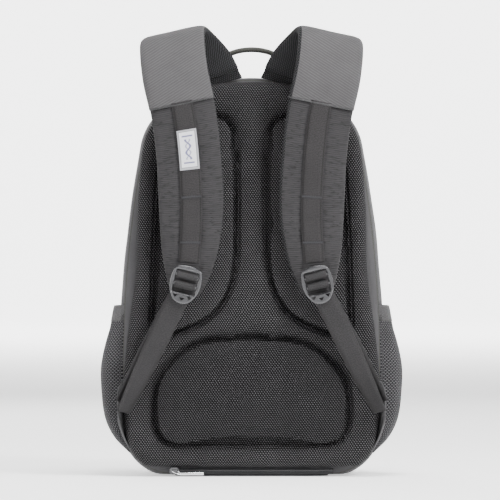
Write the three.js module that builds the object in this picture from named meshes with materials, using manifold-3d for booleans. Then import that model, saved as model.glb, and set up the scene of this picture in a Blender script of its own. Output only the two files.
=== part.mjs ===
// A school backpack, standing on its base.
// Its shoulder straps are towards -Y and its front pocket is towards +Y.
// Millimetres, +Z up. The origin is the centre of the flat base, on the floor.
// The bag is a hollow shell that a zip splits into a rear half and a lid.
// The lid folds down about its lower front edge.
import * as THREE from "three";
import { mergeVertices } from "three/addons/utils/BufferGeometryUtils.js";
import Module from "manifold-3d";

const wasm = await Module();
wasm.setup();

// Body, seen from behind: a flat base, round base corners, long side arcs, shoulders and a top arc.
const BODY_HEIGHT = 468;
const BODY_HALF_WIDTH = 153.5;
const WIDEST_HEIGHT = 130;
const SIDE_RADIUS = 1380;
const TOP_RADIUS = 165;
const SHOULDER_RADIUS = 70;
const BASE_CORNER_RADIUS = 60;
const WALL = 3;
const GAP = 0.3; // between two pieces that touch

// Body, seen from the side.
const BACK_Y = -78;
const ZIP_Y = 22;
const FRONT_Y = 60;
const BOOT_FRONT_Y = 96;
const BOOT_HEIGHT = 60;
const SLOPE_START = 280; // above this height the front leans back
const TOP_FRONT_Y = 40;
const BODY_EDGE = 12; // rounding of the body's long edges
const LID_GAP = 0.6;

// Base plate under the shell.
const BASE_MARGIN = 1.5; // from the end of the flat base line
const BASE_BACK_Y = -70;
const BASE_FRONT_Y = 84;
const BASE_THICKNESS = 2;
const BASE_ROUND = 22;

// Back panel: a stiff sheet, a padded mesh frame round three pads.
const SHEET_THICKNESS = 1.8;
const PANEL_DEPTH = 15;
const PAD_PROUD = 6; // how far the pads stand out of the frame
const PAD_GAP = 1;
const PANEL_EDGE = 5;

// Laptop sleeve inside the shell, against its back wall.
const SLEEVE_MARGIN = 31.5; // from the widest part of the side
const SLEEVE_BOTTOM = 26;
const SLEEVE_HEIGHT = 300;
const SLEEVE_DEPTH = 30;
const SLEEVE_WALL = 3;

// Side pockets.
const POCKET_TOP = 200;
const POCKET_BACK_Y = -74;
const POCKET_FRONT_Y = 12;
const POCKET_WALL = 2.4;
const POCKET_EDGE = 8; // rounding of its front and back edges
const ELASTIC_HEIGHT = 10;

// Zip tapes and their sliders.
const TAPE_WIDTH = 9;
const TAPE_THICKNESS = 1.2;
const SLIDER_LENGTH = 11;
const SLIDER_WIDTH = 9;
const SLIDER_HEIGHT = 3.2;
const SLIDER_LIFT = 2; // clearance between a tape and the slider above it
const PULL_LENGTH = 34;
const PULL_WIDTH = 7;
const PULL_THICKNESS = 1.8;
const BRIDGE_LENGTH = 8.4; // the bridge over a slider holds the pull's end bar
const BRIDGE_HEIGHT = 5;
const BRIDGE_BAR = 1.7;
const EYE_BAR = 0.6;
const EYE_LENGTH = 6;
const SLIDER_ANGLE = 21; // degrees from the top centre, towards the left side
const SLIDER_SPACING = 5; // degrees between the two closed sliders

// Front pocket on the lid.
const FRONT_POCKET_TOP = 300;
const FRONT_POCKET_MARGIN = 25.5; // from the widest part of the side
const FRONT_POCKET_CORNER = 45;
const FRONT_ZIP_HEIGHT = 262;
const FRONT_ZIP_SLOT = 8;
const FRONT_ZIP_MARGIN = 33; // from the side of the front pocket

// Base zip, low on the back.
const BASE_ZIP_HEIGHT = 7;
const BASE_ZIP_REACH = 4.5; // past the end of the flat base line

// Grab handle.
const HANDLE_HALF_SPAN = 49;
const HANDLE_RISE = 34;
const HANDLE_THICKNESS = 6;
const HANDLE_WIDTH = 22;
const HANDLE_END_WIDTH = 12;
const HANDLE_Y = -52;

// Shoulder straps.
const STRAP_BASE_ANGLE = 16.5; // degrees round the top arc where a strap is sewn in
const STRAP_BASE_Y = -81;
const STRAP_WIDTH = 76;
const STRAP_THICKNESS = 11;
const STRAP_CLEARANCE = 1;
const WEBBING_WIDTH = 25;
const WEBBING_THICKNESS = 1.3;
const COVER_THICKNESS = 1;
const YOKE_SEAM_HEIGHT = BODY_HEIGHT - 31;
const LABEL_WIDTH = 20;
const LABEL_TOP = BODY_HEIGHT - 64;
const LABEL_BOTTOM = BODY_HEIGHT - 106;

// Ladder-lock buckles.
const BUCKLE_OUT = 77.5;
const BUCKLE_Y = -130;
const BUCKLE_HEIGHT_AT = 225;
const BUCKLE_TILT = 14; // degrees, foot outwards
const BUCKLE_THICKNESS = 3;
const BUCKLE_HALF_WIDTH = 19;
const BUCKLE_TOP = 22.5;
const BUCKLE_FOOT = -22.5;
const BUCKLE_WINDOW_HALF = 13.6;
const BAR_HEIGHT = 3.6;
const LOOP_BAR_AT = 10.2; // above the buckle's centre
const ADJUST_BAR_AT = -0.8;
const TOP_BAR_LOWER_EDGE = 16.2;
const LIP_UPPER_EDGE = -10.5;

// Corner wings and the lower webbing.
const WING_TOP = 112;
const WING_BOTTOM = 27;
const WING_APEX = { out: BODY_HALF_WIDTH + 3.5, y: -105.5, up: 80 };
const WING_THICKNESS = 1.6;
const TAIL_END = { out: BODY_HALF_WIDTH - 3.5, y: -112, up: 76 };

const colours = {
  polyester: new THREE.MeshStandardMaterial({ color: 0x4a494c, roughness: 0.85 }),
  mesh: new THREE.MeshStandardMaterial({ color: 0x2e2e31, roughness: 0.95 }),
  webbing: new THREE.MeshStandardMaterial({ color: 0x3c3c3c, roughness: 0.8 }),
  lining: new THREE.MeshStandardMaterial({ color: 0x242427, roughness: 0.9 }),
  foam: new THREE.MeshStandardMaterial({ color: 0x3a3a3d, roughness: 0.9 }),
  board: new THREE.MeshStandardMaterial({ color: 0x1d1d1f, roughness: 0.6 }),
  zip: new THREE.MeshStandardMaterial({ color: 0x1b1b1d, roughness: 0.7 }),
  plastic: new THREE.MeshStandardMaterial({ color: 0x2b2b2d, roughness: 0.35 }),
  metal: new THREE.MeshStandardMaterial({ color: 0xb8b8ba, roughness: 0.25, metalness: 1 }),
  label: new THREE.MeshStandardMaterial({ color: 0xc9c9d2, roughness: 0.6 }),
};

const backpack = new THREE.Group();
const rad = THREE.MathUtils.degToRad;

// ---- Solids ------------------------------------------------------------------------------------

// A closed three.js geometry as a manifold-3d solid, turned outwards if its faces point in.
function solid(geometry) {
  const bare = geometry.index ? geometry.toNonIndexed() : geometry.clone();
  const position = new THREE.BufferGeometry().setAttribute("position", bare.getAttribute("position"));
  const merged = mergeVertices(position, 1e-4);
  const triVerts = new Uint32Array(merged.index.array);
  const vertProperties = merged.attributes.position.array;
  const made = new wasm.Manifold(new wasm.Mesh({ numProp: 3, vertProperties, triVerts }));
  if (made.volume() >= 0) return made;
  for (let i = 0; i < triVerts.length; i += 3) {
    [triVerts[i + 1], triVerts[i + 2]] = [triVerts[i + 2], triVerts[i + 1]];
  }
  return new wasm.Manifold(new wasm.Mesh({ numProp: 3, vertProperties, triVerts }));
}

// A manifold-3d solid back as a three.js geometry.
function geometryOf(made) {
  const mesh = made.getMesh();
  return new THREE.BufferGeometry()
    .setAttribute("position", new THREE.BufferAttribute(mesh.vertProperties, 3))
    .setIndex(new THREE.BufferAttribute(mesh.triVerts, 1));
}

// Adds a solid to a group as a named mesh.
function add(group, name, made, material) {
  const mesh = new THREE.Mesh(geometryOf(made), material);
  mesh.name = name;
  group.add(mesh);
  return mesh;
}

// The largest of the bodies that a cut leaves.
function largest(made) {
  return made.decompose().sort((a, b) => b.volume() - a.volume())[0];
}

// A box between two corners.
function box(x0, x1, y0, y1, z0, z1) {
  const geometry = new THREE.BoxGeometry(x1 - x0, y1 - y0, z1 - z0);
  return solid(geometry.translate((x0 + x1) / 2, (y0 + y1) / 2, (z0 + z1) / 2));
}

function extrude(shape, depth, edge, curveSegments) {
  return new THREE.ExtrudeGeometry(shape, {
    depth: depth - 2 * edge,
    bevelEnabled: edge > 0,
    bevelThickness: edge,
    bevelSize: edge,
    bevelOffset: -edge,
    bevelSegments: edge < 2 ? 1 : 3,
    curveSegments,
  }).translate(0, 0, edge);
}

// A shape drawn in x and z, from y0 to y1, with its long edges rounded by edge.
function slabY(shape, y0, y1, edge = 0, curveSegments = 4) {
  return solid(extrude(shape, y1 - y0, edge, curveSegments).rotateX(Math.PI / 2).translate(0, y1, 0));
}

// A shape drawn in y and z, from x0 to x1.
function slabX(shape, x0, x1, edge = 0, curveSegments = 4) {
  const turn = new THREE.Matrix4().makeBasis(
    new THREE.Vector3(0, 1, 0),
    new THREE.Vector3(0, 0, 1),
    new THREE.Vector3(1, 0, 0),
  );
  return solid(extrude(shape, x1 - x0, edge, curveSegments).applyMatrix4(turn).translate(x0, 0, 0));
}

// A shape drawn in x and y, from z0 to z1.
function slabZ(shape, z0, z1, edge = 0, curveSegments = 4) {
  return solid(extrude(shape, z1 - z0, edge, curveSegments).translate(0, 0, z0));
}

// A skin through loops of points that all have the same number, closed by a fan at each end.
function loft(loops) {
  const count = loops[0].length;
  const corners = loops.flat();
  const faces = [];
  for (let i = 0; i + 1 < loops.length; i += 1) {
    for (let j = 0; j < count; j += 1) {
      const a = i * count + j;
      const b = i * count + ((j + 1) % count);
      faces.push(a, b, b + count, a, b + count, a + count);
    }
  }
  const last = (loops.length - 1) * count;
  for (let j = 1; j + 1 < count; j += 1) {
    faces.push(0, j + 1, j);
    faces.push(last, last + j, last + j + 1);
  }
  const geometry = new THREE.BufferGeometry().setFromPoints(corners);
  geometry.setIndex(faces);
  return solid(geometry);
}

// ---- Outlines ----------------------------------------------------------------------------------

const topCentre = new THREE.Vector2(0, BODY_HEIGHT - TOP_RADIUS);
const sideCentre = new THREE.Vector2(BODY_HALF_WIDTH - SIDE_RADIUS, WIDEST_HEIGHT);

// The centre of a fillet that touches the insides of the side arc and of the top arc.
function shoulderCentre() {
  const fromSide = SIDE_RADIUS - SHOULDER_RADIUS;
  const fromTop = TOP_RADIUS - SHOULDER_RADIUS;
  const between = topCentre.clone().sub(sideCentre);
  const distance = between.length();
  const along = (fromSide ** 2 - fromTop ** 2 + distance ** 2) / (2 * distance);
  const across = Math.sqrt(fromSide ** 2 - along ** 2);
  const unit = between.clone().normalize();
  const normal = new THREE.Vector2(-unit.y, unit.x);
  return sideCentre.clone().addScaledVector(unit, along).addScaledVector(normal, across);
}
const shoulder = shoulderCentre();
const cornerDrop = WIDEST_HEIGHT - BASE_CORNER_RADIUS;
const baseCorner = new THREE.Vector2(
  sideCentre.x + Math.sqrt((SIDE_RADIUS - BASE_CORNER_RADIUS) ** 2 - cornerDrop ** 2),
  BASE_CORNER_RADIUS,
);
const SLEEVE_HALF_WIDTH = BODY_HALF_WIDTH - SLEEVE_MARGIN;
const FRONT_POCKET_HALF_WIDTH = BODY_HALF_WIDTH - FRONT_POCKET_MARGIN;
const FRONT_ZIP_HALF = FRONT_POCKET_HALF_WIDTH - FRONT_ZIP_MARGIN;
const BASE_ZIP_HALF = baseCorner.x + BASE_ZIP_REACH;
const bearing = (from, to) => Math.atan2(to.y - from.y, to.x - from.x);
const sideLow = bearing(sideCentre, baseCorner);
const sideHigh = bearing(sideCentre, shoulder);
const topStart = bearing(topCentre, shoulder);

// The half width of the body at a height on its side arc.
function halfWidthAt(height) {
  return sideCentre.x + Math.sqrt(SIDE_RADIUS ** 2 - (height - WIDEST_HEIGHT) ** 2);
}

// The body's outline in x and z, grown by an offset.
// Every arc keeps its centre, so the offset is even all round.
function bodyOutline(offset = 0) {
  const shape = new THREE.Shape();
  const arcs = [
    [baseCorner, BASE_CORNER_RADIUS, -Math.PI / 2, sideLow],
    [sideCentre, SIDE_RADIUS, sideLow, sideHigh],
    [shoulder, SHOULDER_RADIUS, sideHigh, topStart],
    [topCentre, TOP_RADIUS, topStart, Math.PI / 2],
  ];
  shape.moveTo(-baseCorner.x, -offset);
  shape.lineTo(baseCorner.x, -offset);
  arcs.forEach(([centre, radius, from, to]) => {
    shape.absarc(centre.x, centre.y, radius + offset, from, to, false);
  });
  arcs.reverse().forEach(([centre, radius, from, to]) => {
    shape.absarc(-centre.x, centre.y, radius + offset, Math.PI - to, Math.PI - from, false);
  });
  return shape;
}

// A smooth closed outline through a few points.
function splineShape(points, divisions) {
  const curve = new THREE.CatmullRomCurve3(
    points.map(([x, z]) => new THREE.Vector3(x, z, 0)),
    true,
    "centripetal",
  );
  return new THREE.Shape(
    curve
      .getPoints(divisions)
      .slice(0, -1)
      .map((p) => new THREE.Vector2(p.x, p.y)),
  );
}

// A closed outline moved out by an offset, point by point along its normals.
function grown(shape, offset) {
  const points = shape.getPoints();
  const clockwise = THREE.ShapeUtils.isClockWise(points);
  return new THREE.Shape(
    points.map((p, i) => {
      const before = points[(i + points.length - 1) % points.length];
      const after = points[(i + 1) % points.length];
      const along = after.clone().sub(before).normalize();
      const out = clockwise ? new THREE.Vector2(-along.y, along.x) : new THREE.Vector2(along.y, -along.x);
      return p.clone().addScaledVector(out, offset);
    }),
  );
}

// A rectangle with round corners, about a centre.
function roundedRectangle(cx, cy, width, height, radius) {
  const shape = new THREE.Shape();
  const [x, y] = [width / 2 - radius, height / 2 - radius];
  shape.moveTo(cx - x, cy - height / 2);
  shape.absarc(cx + x, cy - y, radius, -Math.PI / 2, 0, false);
  shape.absarc(cx + x, cy + y, radius, 0, Math.PI / 2, false);
  shape.absarc(cx - x, cy + y, radius, Math.PI / 2, Math.PI, false);
  shape.absarc(cx - x, cy - y, radius, Math.PI, 1.5 * Math.PI, false);
  return shape;
}

// ---- The bag's shell and its lid ---------------------------------------------------------------

// The main body, moved in by an inset: the outline from back to front, under a front that leans back.
function mainBody(inset) {
  const profile = new THREE.Shape([
    new THREE.Vector2(BACK_Y, -10),
    new THREE.Vector2(FRONT_Y - inset, -10),
    new THREE.Vector2(FRONT_Y - inset, SLOPE_START),
    new THREE.Vector2(TOP_FRONT_Y - inset, BODY_HEIGHT + 10),
    new THREE.Vector2(BACK_Y, BODY_HEIGHT + 10),
  ]);
  const block = slabY(bodyOutline(-inset), BACK_Y + inset, FRONT_Y + BODY_EDGE - inset, BODY_EDGE);
  return block.intersect(slabX(profile, -BODY_HALF_WIDTH - 10, BODY_HALF_WIDTH + 10));
}

// The boot is the low front of the bag, under the front pocket.
function boot(inset) {
  const low = slabY(bodyOutline(-inset), BACK_Y + inset + WALL, BOOT_FRONT_Y - inset, BODY_EDGE);
  return low.intersect(box(-200, 200, BACK_Y, BOOT_FRONT_Y + 1, -1, BOOT_HEIGHT - inset));
}

const lift = BASE_THICKNESS + GAP; // the shell stands on the base plate
const raised = (made) => made.intersect(box(-200, 200, -200, 200, lift, 600));
const hollow = raised(mainBody(0).add(boot(0))).subtract(mainBody(WALL).add(boot(WALL)).intersect(
  box(-200, 200, -200, 200, lift + WALL, 600),
));
const lidRegion = box(-200, 200, ZIP_Y + LID_GAP, 200, BOOT_HEIGHT + LID_GAP, 600);
const lidOpening = box(-200, 200, ZIP_Y, 200, BOOT_HEIGHT, 600);

function bodyPieces() {
  add(backpack, "bag_shell", hollow.subtract(lidOpening), colours.polyester);
  const plate = roundedRectangle(
    0,
    (BASE_BACK_Y + BASE_FRONT_Y) / 2,
    2 * (baseCorner.x - BASE_MARGIN),
    BASE_FRONT_Y - BASE_BACK_Y,
    BASE_ROUND,
  );
  add(backpack, "base_panel", slabZ(plate, 0, BASE_THICKNESS), colours.board);
  const sheet = slabY(bodyOutline(-BODY_EDGE - 4), BACK_Y - GAP - SHEET_THICKNESS, BACK_Y - GAP);
  add(backpack, "frame_sheet", sheet.intersect(box(-200, 200, -200, 200, 14, 600)), colours.board);
}

// A pocket for a laptop: a tray on the shell's back wall, open at the top and towards that wall.
function sleevePieces() {
  const back = BACK_Y + WALL + GAP;
  const top = SLEEVE_BOTTOM + SLEEVE_HEIGHT;
  const outer = box(-SLEEVE_HALF_WIDTH, SLEEVE_HALF_WIDTH, back, back + SLEEVE_DEPTH, SLEEVE_BOTTOM, top);
  const room = box(
    -SLEEVE_HALF_WIDTH + SLEEVE_WALL,
    SLEEVE_HALF_WIDTH - SLEEVE_WALL,
    back + SLEEVE_WALL,
    back + SLEEVE_DEPTH - SLEEVE_WALL,
    SLEEVE_BOTTOM + SLEEVE_WALL,
    top + 1,
  );
  const reachable = mainBody(WALL + GAP);
  add(backpack, "laptop_sleeve", outer.subtract(room).intersect(reachable), colours.lining);
}

// ---- Zips --------------------------------------------------------------------------------------

const SLIDER_TOP = SLIDER_LIFT + SLIDER_HEIGHT;
const pinHeight = SLIDER_TOP + (BRIDGE_HEIGHT - BRIDGE_BAR) / 2; // of a pull's end bar over the zip
const tapeInner = GAP; // height of a tape's underside over the shell
const tapeOuter = tapeInner + TAPE_THICKNESS;

// A tape that lies on the body's outline between two depths, above the boot.
function outlineTape(y0, y1) {
  const band = slabY(bodyOutline(tapeOuter), y0, y1).subtract(slabY(bodyOutline(tapeInner), y0 - 1, y1 + 1));
  return band.intersect(box(-200, 200, -200, 200, BOOT_HEIGHT + LID_GAP, 600));
}

// A slider: a low block with a bridge. It runs along local x, over a zip whose surface is local z = 0.
function slider() {
  const plan = roundedRectangle(0, 0, SLIDER_LENGTH, SLIDER_WIDTH, 3);
  const block = slabZ(plan, SLIDER_LIFT, SLIDER_TOP, 0.8, 2);
  const outside = roundedRectangle(0, 0, BRIDGE_LENGTH, 2 * BRIDGE_HEIGHT, 2.4);
  const [long, high] = [BRIDGE_LENGTH - 2 * BRIDGE_BAR, 2 * (BRIDGE_HEIGHT - BRIDGE_BAR)];
  const window = roundedRectangle(0, 0, long, high, 1);
  const ring = slabY(outside, -1.1, 1.1, 0, 2).subtract(slabY(window, -2, 2, 0, 1));
  return block.add(ring.translate([0, 0, SLIDER_TOP]).intersect(box(-20, 20, -5, 5, SLIDER_TOP - 1, 40)));
}

// A pull: a tab whose end bar is local y through the origin, inside the bridge. It reaches along local +x.
function pull() {
  const tab = roundedRectangle(PULL_LENGTH / 2 - EYE_BAR, 0, PULL_LENGTH, PULL_WIDTH, 2.4);
  const eye = roundedRectangle(EYE_BAR + EYE_LENGTH / 2, 0, EYE_LENGTH, 3.4, 0.8);
  const half = PULL_THICKNESS / 2;
  return slabZ(tab, -half, half, 0.5, 2).subtract(slabZ(eye, -5, 5, 0, 1));
}

// A slider and its pull at a place, with local x along the zip and local z out of it.
function zipPieces(name, origin, along, out, pullAlong, material, lean = 0) {
  const place = new THREE.Group();
  const across = out.clone().cross(along).normalize();
  place.applyMatrix4(new THREE.Matrix4().makeBasis(along, across, out).setPosition(origin));
  add(place, `${name}_slider`, slider(), material);
  const arm = add(place, `${name}_pull`, pull(), material);
  arm.position.set(0, 0, pinHeight);
  const sign = pullAlong < 0 ? Math.PI : 0;
  arm.rotation.set(0, lean, sign, "ZYX");
  backpack.add(place);
}

const Y_AXIS = new THREE.Vector3(0, 1, 0);

function mainZipPieces() {
  add(backpack, "zip_tape_rear", outlineTape(ZIP_Y - TAPE_WIDTH, ZIP_Y), colours.zip);
  add(backpack, "zip_tape_front", outlineTape(ZIP_Y + LID_GAP, ZIP_Y + LID_GAP + TAPE_WIDTH), colours.zip);
  [
    ["main_left", SLIDER_ANGLE + SLIDER_SPACING / 2, 1],
    ["main_right", SLIDER_ANGLE - SLIDER_SPACING / 2, -1],
  ].forEach(([name, angle, towards]) => {
    const out = new THREE.Vector3(-Math.sin(rad(angle)), 0, Math.cos(rad(angle)));
    const along = Y_AXIS.clone().cross(out);
    const origin = out.clone().multiplyScalar(TOP_RADIUS + tapeOuter);
    origin.add(new THREE.Vector3(0, ZIP_Y + LID_GAP / 2, topCentre.y));
    zipPieces(name, origin, along, out, -towards, colours.plastic);
  });
}

function frontPocketPieces() {
  const bottom = BOOT_HEIGHT + LID_GAP;
  const outline = roundedRectangle(
    0,
    (FRONT_POCKET_TOP + bottom) / 2 - FRONT_POCKET_CORNER,
    2 * FRONT_POCKET_HALF_WIDTH,
    FRONT_POCKET_TOP - bottom + 2 * FRONT_POCKET_CORNER,
    FRONT_POCKET_CORNER,
  );
  const back = FRONT_Y + GAP;
  const above = box(-200, 200, 0, 200, bottom, 600);
  const outer = slabY(outline, back - BODY_EDGE, BOOT_FRONT_Y, BODY_EDGE);
  const inner = slabY(grown(outline, -WALL), back - BODY_EDGE - 1, BOOT_FRONT_Y - WALL, BODY_EDGE - WALL);
  const behind = box(-200, 200, 0, back, 0, 600);
  const room = inner.intersect(box(-200, 200, 0, 200, bottom + WALL, 600));
  const slot = box(
    -FRONT_ZIP_HALF,
    FRONT_ZIP_HALF,
    BOOT_FRONT_Y - WALL - 2,
    BOOT_FRONT_Y + 1,
    FRONT_ZIP_HEIGHT,
    FRONT_ZIP_HEIGHT + FRONT_ZIP_SLOT,
  );
  const pocket = outer.intersect(above).subtract(room).subtract(behind).subtract(slot);
  add(backpack, "front_pocket", pocket, colours.polyester);
  const chain = box(
    -FRONT_ZIP_HALF + GAP,
    FRONT_ZIP_HALF - GAP,
    BOOT_FRONT_Y - WALL,
    BOOT_FRONT_Y - WALL + TAPE_THICKNESS,
    FRONT_ZIP_HEIGHT + GAP,
    FRONT_ZIP_HEIGHT + FRONT_ZIP_SLOT - GAP,
  );
  add(backpack, "front_pocket_zip", chain, colours.zip);
  const origin = new THREE.Vector3(
    -FRONT_ZIP_HALF + SLIDER_LENGTH,
    BOOT_FRONT_Y - SLIDER_LIFT + GAP,
    FRONT_ZIP_HEIGHT + FRONT_ZIP_SLOT / 2,
  );
  zipPieces("front_pocket", origin, new THREE.Vector3(0, 0, -1), Y_AXIS, 1, colours.plastic);
}

function baseZipPieces() {
  const y = BACK_Y - GAP - 3;
  const [low, high] = [BASE_ZIP_HEIGHT - 4.5, BASE_ZIP_HEIGHT + 3];
  const chain = box(-BASE_ZIP_HALF, BASE_ZIP_HALF, y - TAPE_THICKNESS, y, low, high);
  add(backpack, "base_zip", chain, colours.zip);
  const origin = new THREE.Vector3(-BASE_ZIP_HALF + SLIDER_LENGTH / 2, y - TAPE_THICKNESS, BASE_ZIP_HEIGHT);
  zipPieces("base", origin, new THREE.Vector3(1, 0, 0), new THREE.Vector3(0, -1, 0), 1, colours.metal);
}

// ---- Back panel --------------------------------------------------------------------------------

// Half of the padded frame's outline, from the bottom centre to the top centre, as half width and height.
const panelHalf = [
  [BODY_HALF_WIDTH - 58.5, 14],
  [BODY_HALF_WIDTH - 25.5, 20],
  [BODY_HALF_WIDTH - 9.5, 50],
  [BODY_HALF_WIDTH - 4, 105],
  [BODY_HALF_WIDTH - 9.5, 172],
  [BODY_HALF_WIDTH - 18, 240],
  [BODY_HALF_WIDTH - 20, BODY_HEIGHT - 143],
  [BODY_HALF_WIDTH - 29.5, BODY_HEIGHT - 68],
  [BODY_HALF_WIDTH - 65.5, BODY_HEIGHT - 24],
  [40, BODY_HEIGHT - 7],
];

// A shape that is the same on both sides, from one half of it.
function mirroredSpline(half, divisions) {
  const left = half
    .slice()
    .reverse()
    .map(([x, z]) => [-x, z]);
  return splineShape([...half, ...left], divisions);
}

const lumbarHalf = [
  [60, 35],
  [BODY_HALF_WIDTH - 53.5, 39],
  [BODY_HALF_WIDTH - 37.5, 62],
  [BODY_HALF_WIDTH - 40.5, 110],
  [BODY_HALF_WIDTH - 63.5, 142],
  [48, 163],
];

const sidePad = [
  [40, BODY_HEIGHT - 43],
  [22, BODY_HEIGHT - 56],
  [16, BODY_HEIGHT - 88],
  [15, 300],
  [18, 240],
  [34, 200],
  [62, 177],
  [BODY_HALF_WIDTH - 53.5, 164],
  [BODY_HALF_WIDTH - 36.5, 172],
  [BODY_HALF_WIDTH - 36.5, 215],
  [BODY_HALF_WIDTH - 41.5, BODY_HEIGHT - 138],
  [BODY_HALF_WIDTH - 50.5, BODY_HEIGHT - 72],
  [BODY_HALF_WIDTH - 75.5, BODY_HEIGHT - 45],
];

function panelPieces() {
  const back = BACK_Y - 2 * GAP - SHEET_THICKNESS;
  const face = back - PANEL_DEPTH;
  const lumbar = mirroredSpline(lumbarHalf, 36);
  const right = splineShape(sidePad, 40);
  const left = splineShape(
    sidePad.map(([x, z]) => [-x, z]).reverse(),
    40,
  );
  let frame = slabY(mirroredSpline(panelHalf, 60), face, back, PANEL_EDGE);
  const pads = { left_back_pad: left, right_back_pad: right, lumbar_pad: lumbar };
  Object.entries(pads).forEach(([name, outline]) => {
    frame = frame.subtract(slabY(grown(outline, PAD_GAP), face - 20, back + 1));
    add(backpack, name, slabY(outline, face - PAD_PROUD, back, 5), colours.mesh);
  });
  add(backpack, "back_panel", frame, colours.mesh);
}

// ---- Side pockets ------------------------------------------------------------------------------

// The outer edge of a side pocket, from its mouth to its foot.
const pocketEdge = [
  [BODY_HALF_WIDTH + 7, POCKET_TOP],
  [BODY_HALF_WIDTH + 11.5, POCKET_TOP - 24],
  [BODY_HALF_WIDTH + 19, 142],
  [BODY_HALF_WIDTH + 21, 112],
  [BODY_HALF_WIDTH + 17.5, 74],
  [BODY_HALF_WIDTH + 6.5, 46],
  [BODY_HALF_WIDTH - 9.5, 27],
];

function pocketOutline(inset) {
  const points = pocketEdge.map(([x, z]) => {
    const rise = z < POCKET_TOP ? 0.7 : 1;
    return new THREE.Vector2(x - inset, z + rise * inset);
  });
  const edge = new THREE.SplineCurve(points).getPoints(16);
  const inside = (z) => new THREE.Vector2(100, z);
  return new THREE.Shape([inside(edge[0].y), ...edge, inside(edge[16].y)]);
}

// A cloth pouch against the bag's side, open at its top, with an elastic band round its mouth.
function pocketPieces(side, name) {
  const [back, front] = [POCKET_BACK_Y + POCKET_WALL, POCKET_FRONT_Y - POCKET_WALL];
  const outer = slabY(pocketOutline(0), POCKET_BACK_Y, POCKET_FRONT_Y, POCKET_EDGE, 3);
  const inner = slabY(pocketOutline(POCKET_WALL), back, front, POCKET_EDGE - 2, 3);
  const room = inner.add(inner.translate([0, 0, 8]));
  const lip = pocketEdge[0][0] - POCKET_WALL;
  const mouth = box(0, lip, back + 6, front - 6, POCKET_TOP - 12, POCKET_TOP + 100);
  const body = slabY(bodyOutline(GAP + 0.2), -200, 200);
  const whole = outer.subtract(room).subtract(mouth).subtract(body);
  const pouch = side < 0 ? whole.mirror([1, 0, 0]) : whole;
  const seam = POCKET_TOP - ELASTIC_HEIGHT;
  const cloth = largest(pouch.intersect(box(-300, 300, -200, 200, 0, seam - GAP)));
  const band = largest(pouch.intersect(box(-300, 300, -200, 200, seam, POCKET_TOP)));
  add(backpack, `${name}_side_pocket`, cloth, colours.mesh);
  add(backpack, `${name}_pocket_elastic`, band, colours.webbing);
}

// ---- Grab handle -------------------------------------------------------------------------------

// The height of the body's top under each end.
const handleFoot = topCentre.y + Math.sqrt(TOP_RADIUS ** 2 - HANDLE_HALF_SPAN ** 2);
const handlePivot = handleFoot + HANDLE_END_WIDTH / 2 + 1;

function handlePieces() {
  const arch = new THREE.Shape();
  const low = handlePivot - HANDLE_END_WIDTH / 2;
  const half = HANDLE_THICKNESS / 2;
  arch.moveTo(HANDLE_HALF_SPAN + half, low);
  arch.lineTo(HANDLE_HALF_SPAN + half, handlePivot);
  arch.absellipse(0, handlePivot, HANDLE_HALF_SPAN + half, HANDLE_RISE + half, 0, Math.PI, false);
  arch.lineTo(-HANDLE_HALF_SPAN - half, low);
  arch.lineTo(-HANDLE_HALF_SPAN + half, low);
  arch.lineTo(-HANDLE_HALF_SPAN + half, handlePivot);
  arch.absellipse(0, handlePivot, HANDLE_HALF_SPAN - half, HANDLE_RISE - half, Math.PI, 0, true);
  arch.lineTo(HANDLE_HALF_SPAN - half, low);
  const side = new THREE.Shape();
  const wide = HANDLE_WIDTH / 2;
  const top = handlePivot + HANDLE_RISE + half + 1;
  side.absarc(HANDLE_Y, handlePivot, HANDLE_END_WIDTH / 2, Math.PI, 2 * Math.PI, false);
  side.lineTo(HANDLE_Y + wide, handlePivot + 18);
  side.lineTo(HANDLE_Y + wide, top);
  side.lineTo(HANDLE_Y - wide, top);
  side.lineTo(HANDLE_Y - wide, handlePivot + 18);
  const ribbon = slabY(arch, HANDLE_Y - wide, HANDLE_Y + wide, 1.5, 9);
  add(backpack, "grab_handle", ribbon.intersect(slabX(side, -90, 90, 0, 5)), colours.webbing);
}

// ---- Shoulder straps ---------------------------------------------------------------------------

const strapPivotRadius = TOP_RADIUS + STRAP_THICKNESS / 2 + STRAP_CLEARANCE;
const strapPivot = {
  out: strapPivotRadius * Math.sin(rad(STRAP_BASE_ANGLE)),
  up: topCentre.y + strapPivotRadius * Math.cos(rad(STRAP_BASE_ANGLE)),
};

// Stations down a strap from its seam. Each is how far out, back and up its centre is,
// its lean in degrees with the inner edge up, its width and its thickness.
const strapStations = [
  [strapPivot.out, STRAP_BASE_Y, strapPivot.up, STRAP_BASE_ANGLE, 70, STRAP_THICKNESS],
  [62, -88, BODY_HEIGHT + 22, 14, 72, STRAP_THICKNESS],
  [82, -101, BODY_HEIGHT + 42, 12.5, 75, STRAP_THICKNESS],
  [91, -119, BODY_HEIGHT + 46, 12.4, STRAP_WIDTH, STRAP_THICKNESS],
  [92, -134, BODY_HEIGHT + 31, 12.4, STRAP_WIDTH, STRAP_THICKNESS],
  [88, -139, BODY_HEIGHT - 2, 12.4, STRAP_WIDTH, STRAP_THICKNESS],
  [79, -135, BODY_HEIGHT - 43, 11, STRAP_WIDTH, STRAP_THICKNESS],
  [73, -129, BODY_HEIGHT - 93, 7, STRAP_WIDTH, STRAP_THICKNESS],
  [70, -122, BODY_HEIGHT - 153, 3, STRAP_WIDTH, STRAP_THICKNESS],
  [72, -117, BUCKLE_HEIGHT_AT + 40, -3, 66, STRAP_THICKNESS],
  [76, -114.5, BUCKLE_HEIGHT_AT + 3, -9, 46, 10],
  [80, -113.5, BUCKLE_HEIGHT_AT - 18, -BUCKLE_TILT, 24, 8],
];

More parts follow.
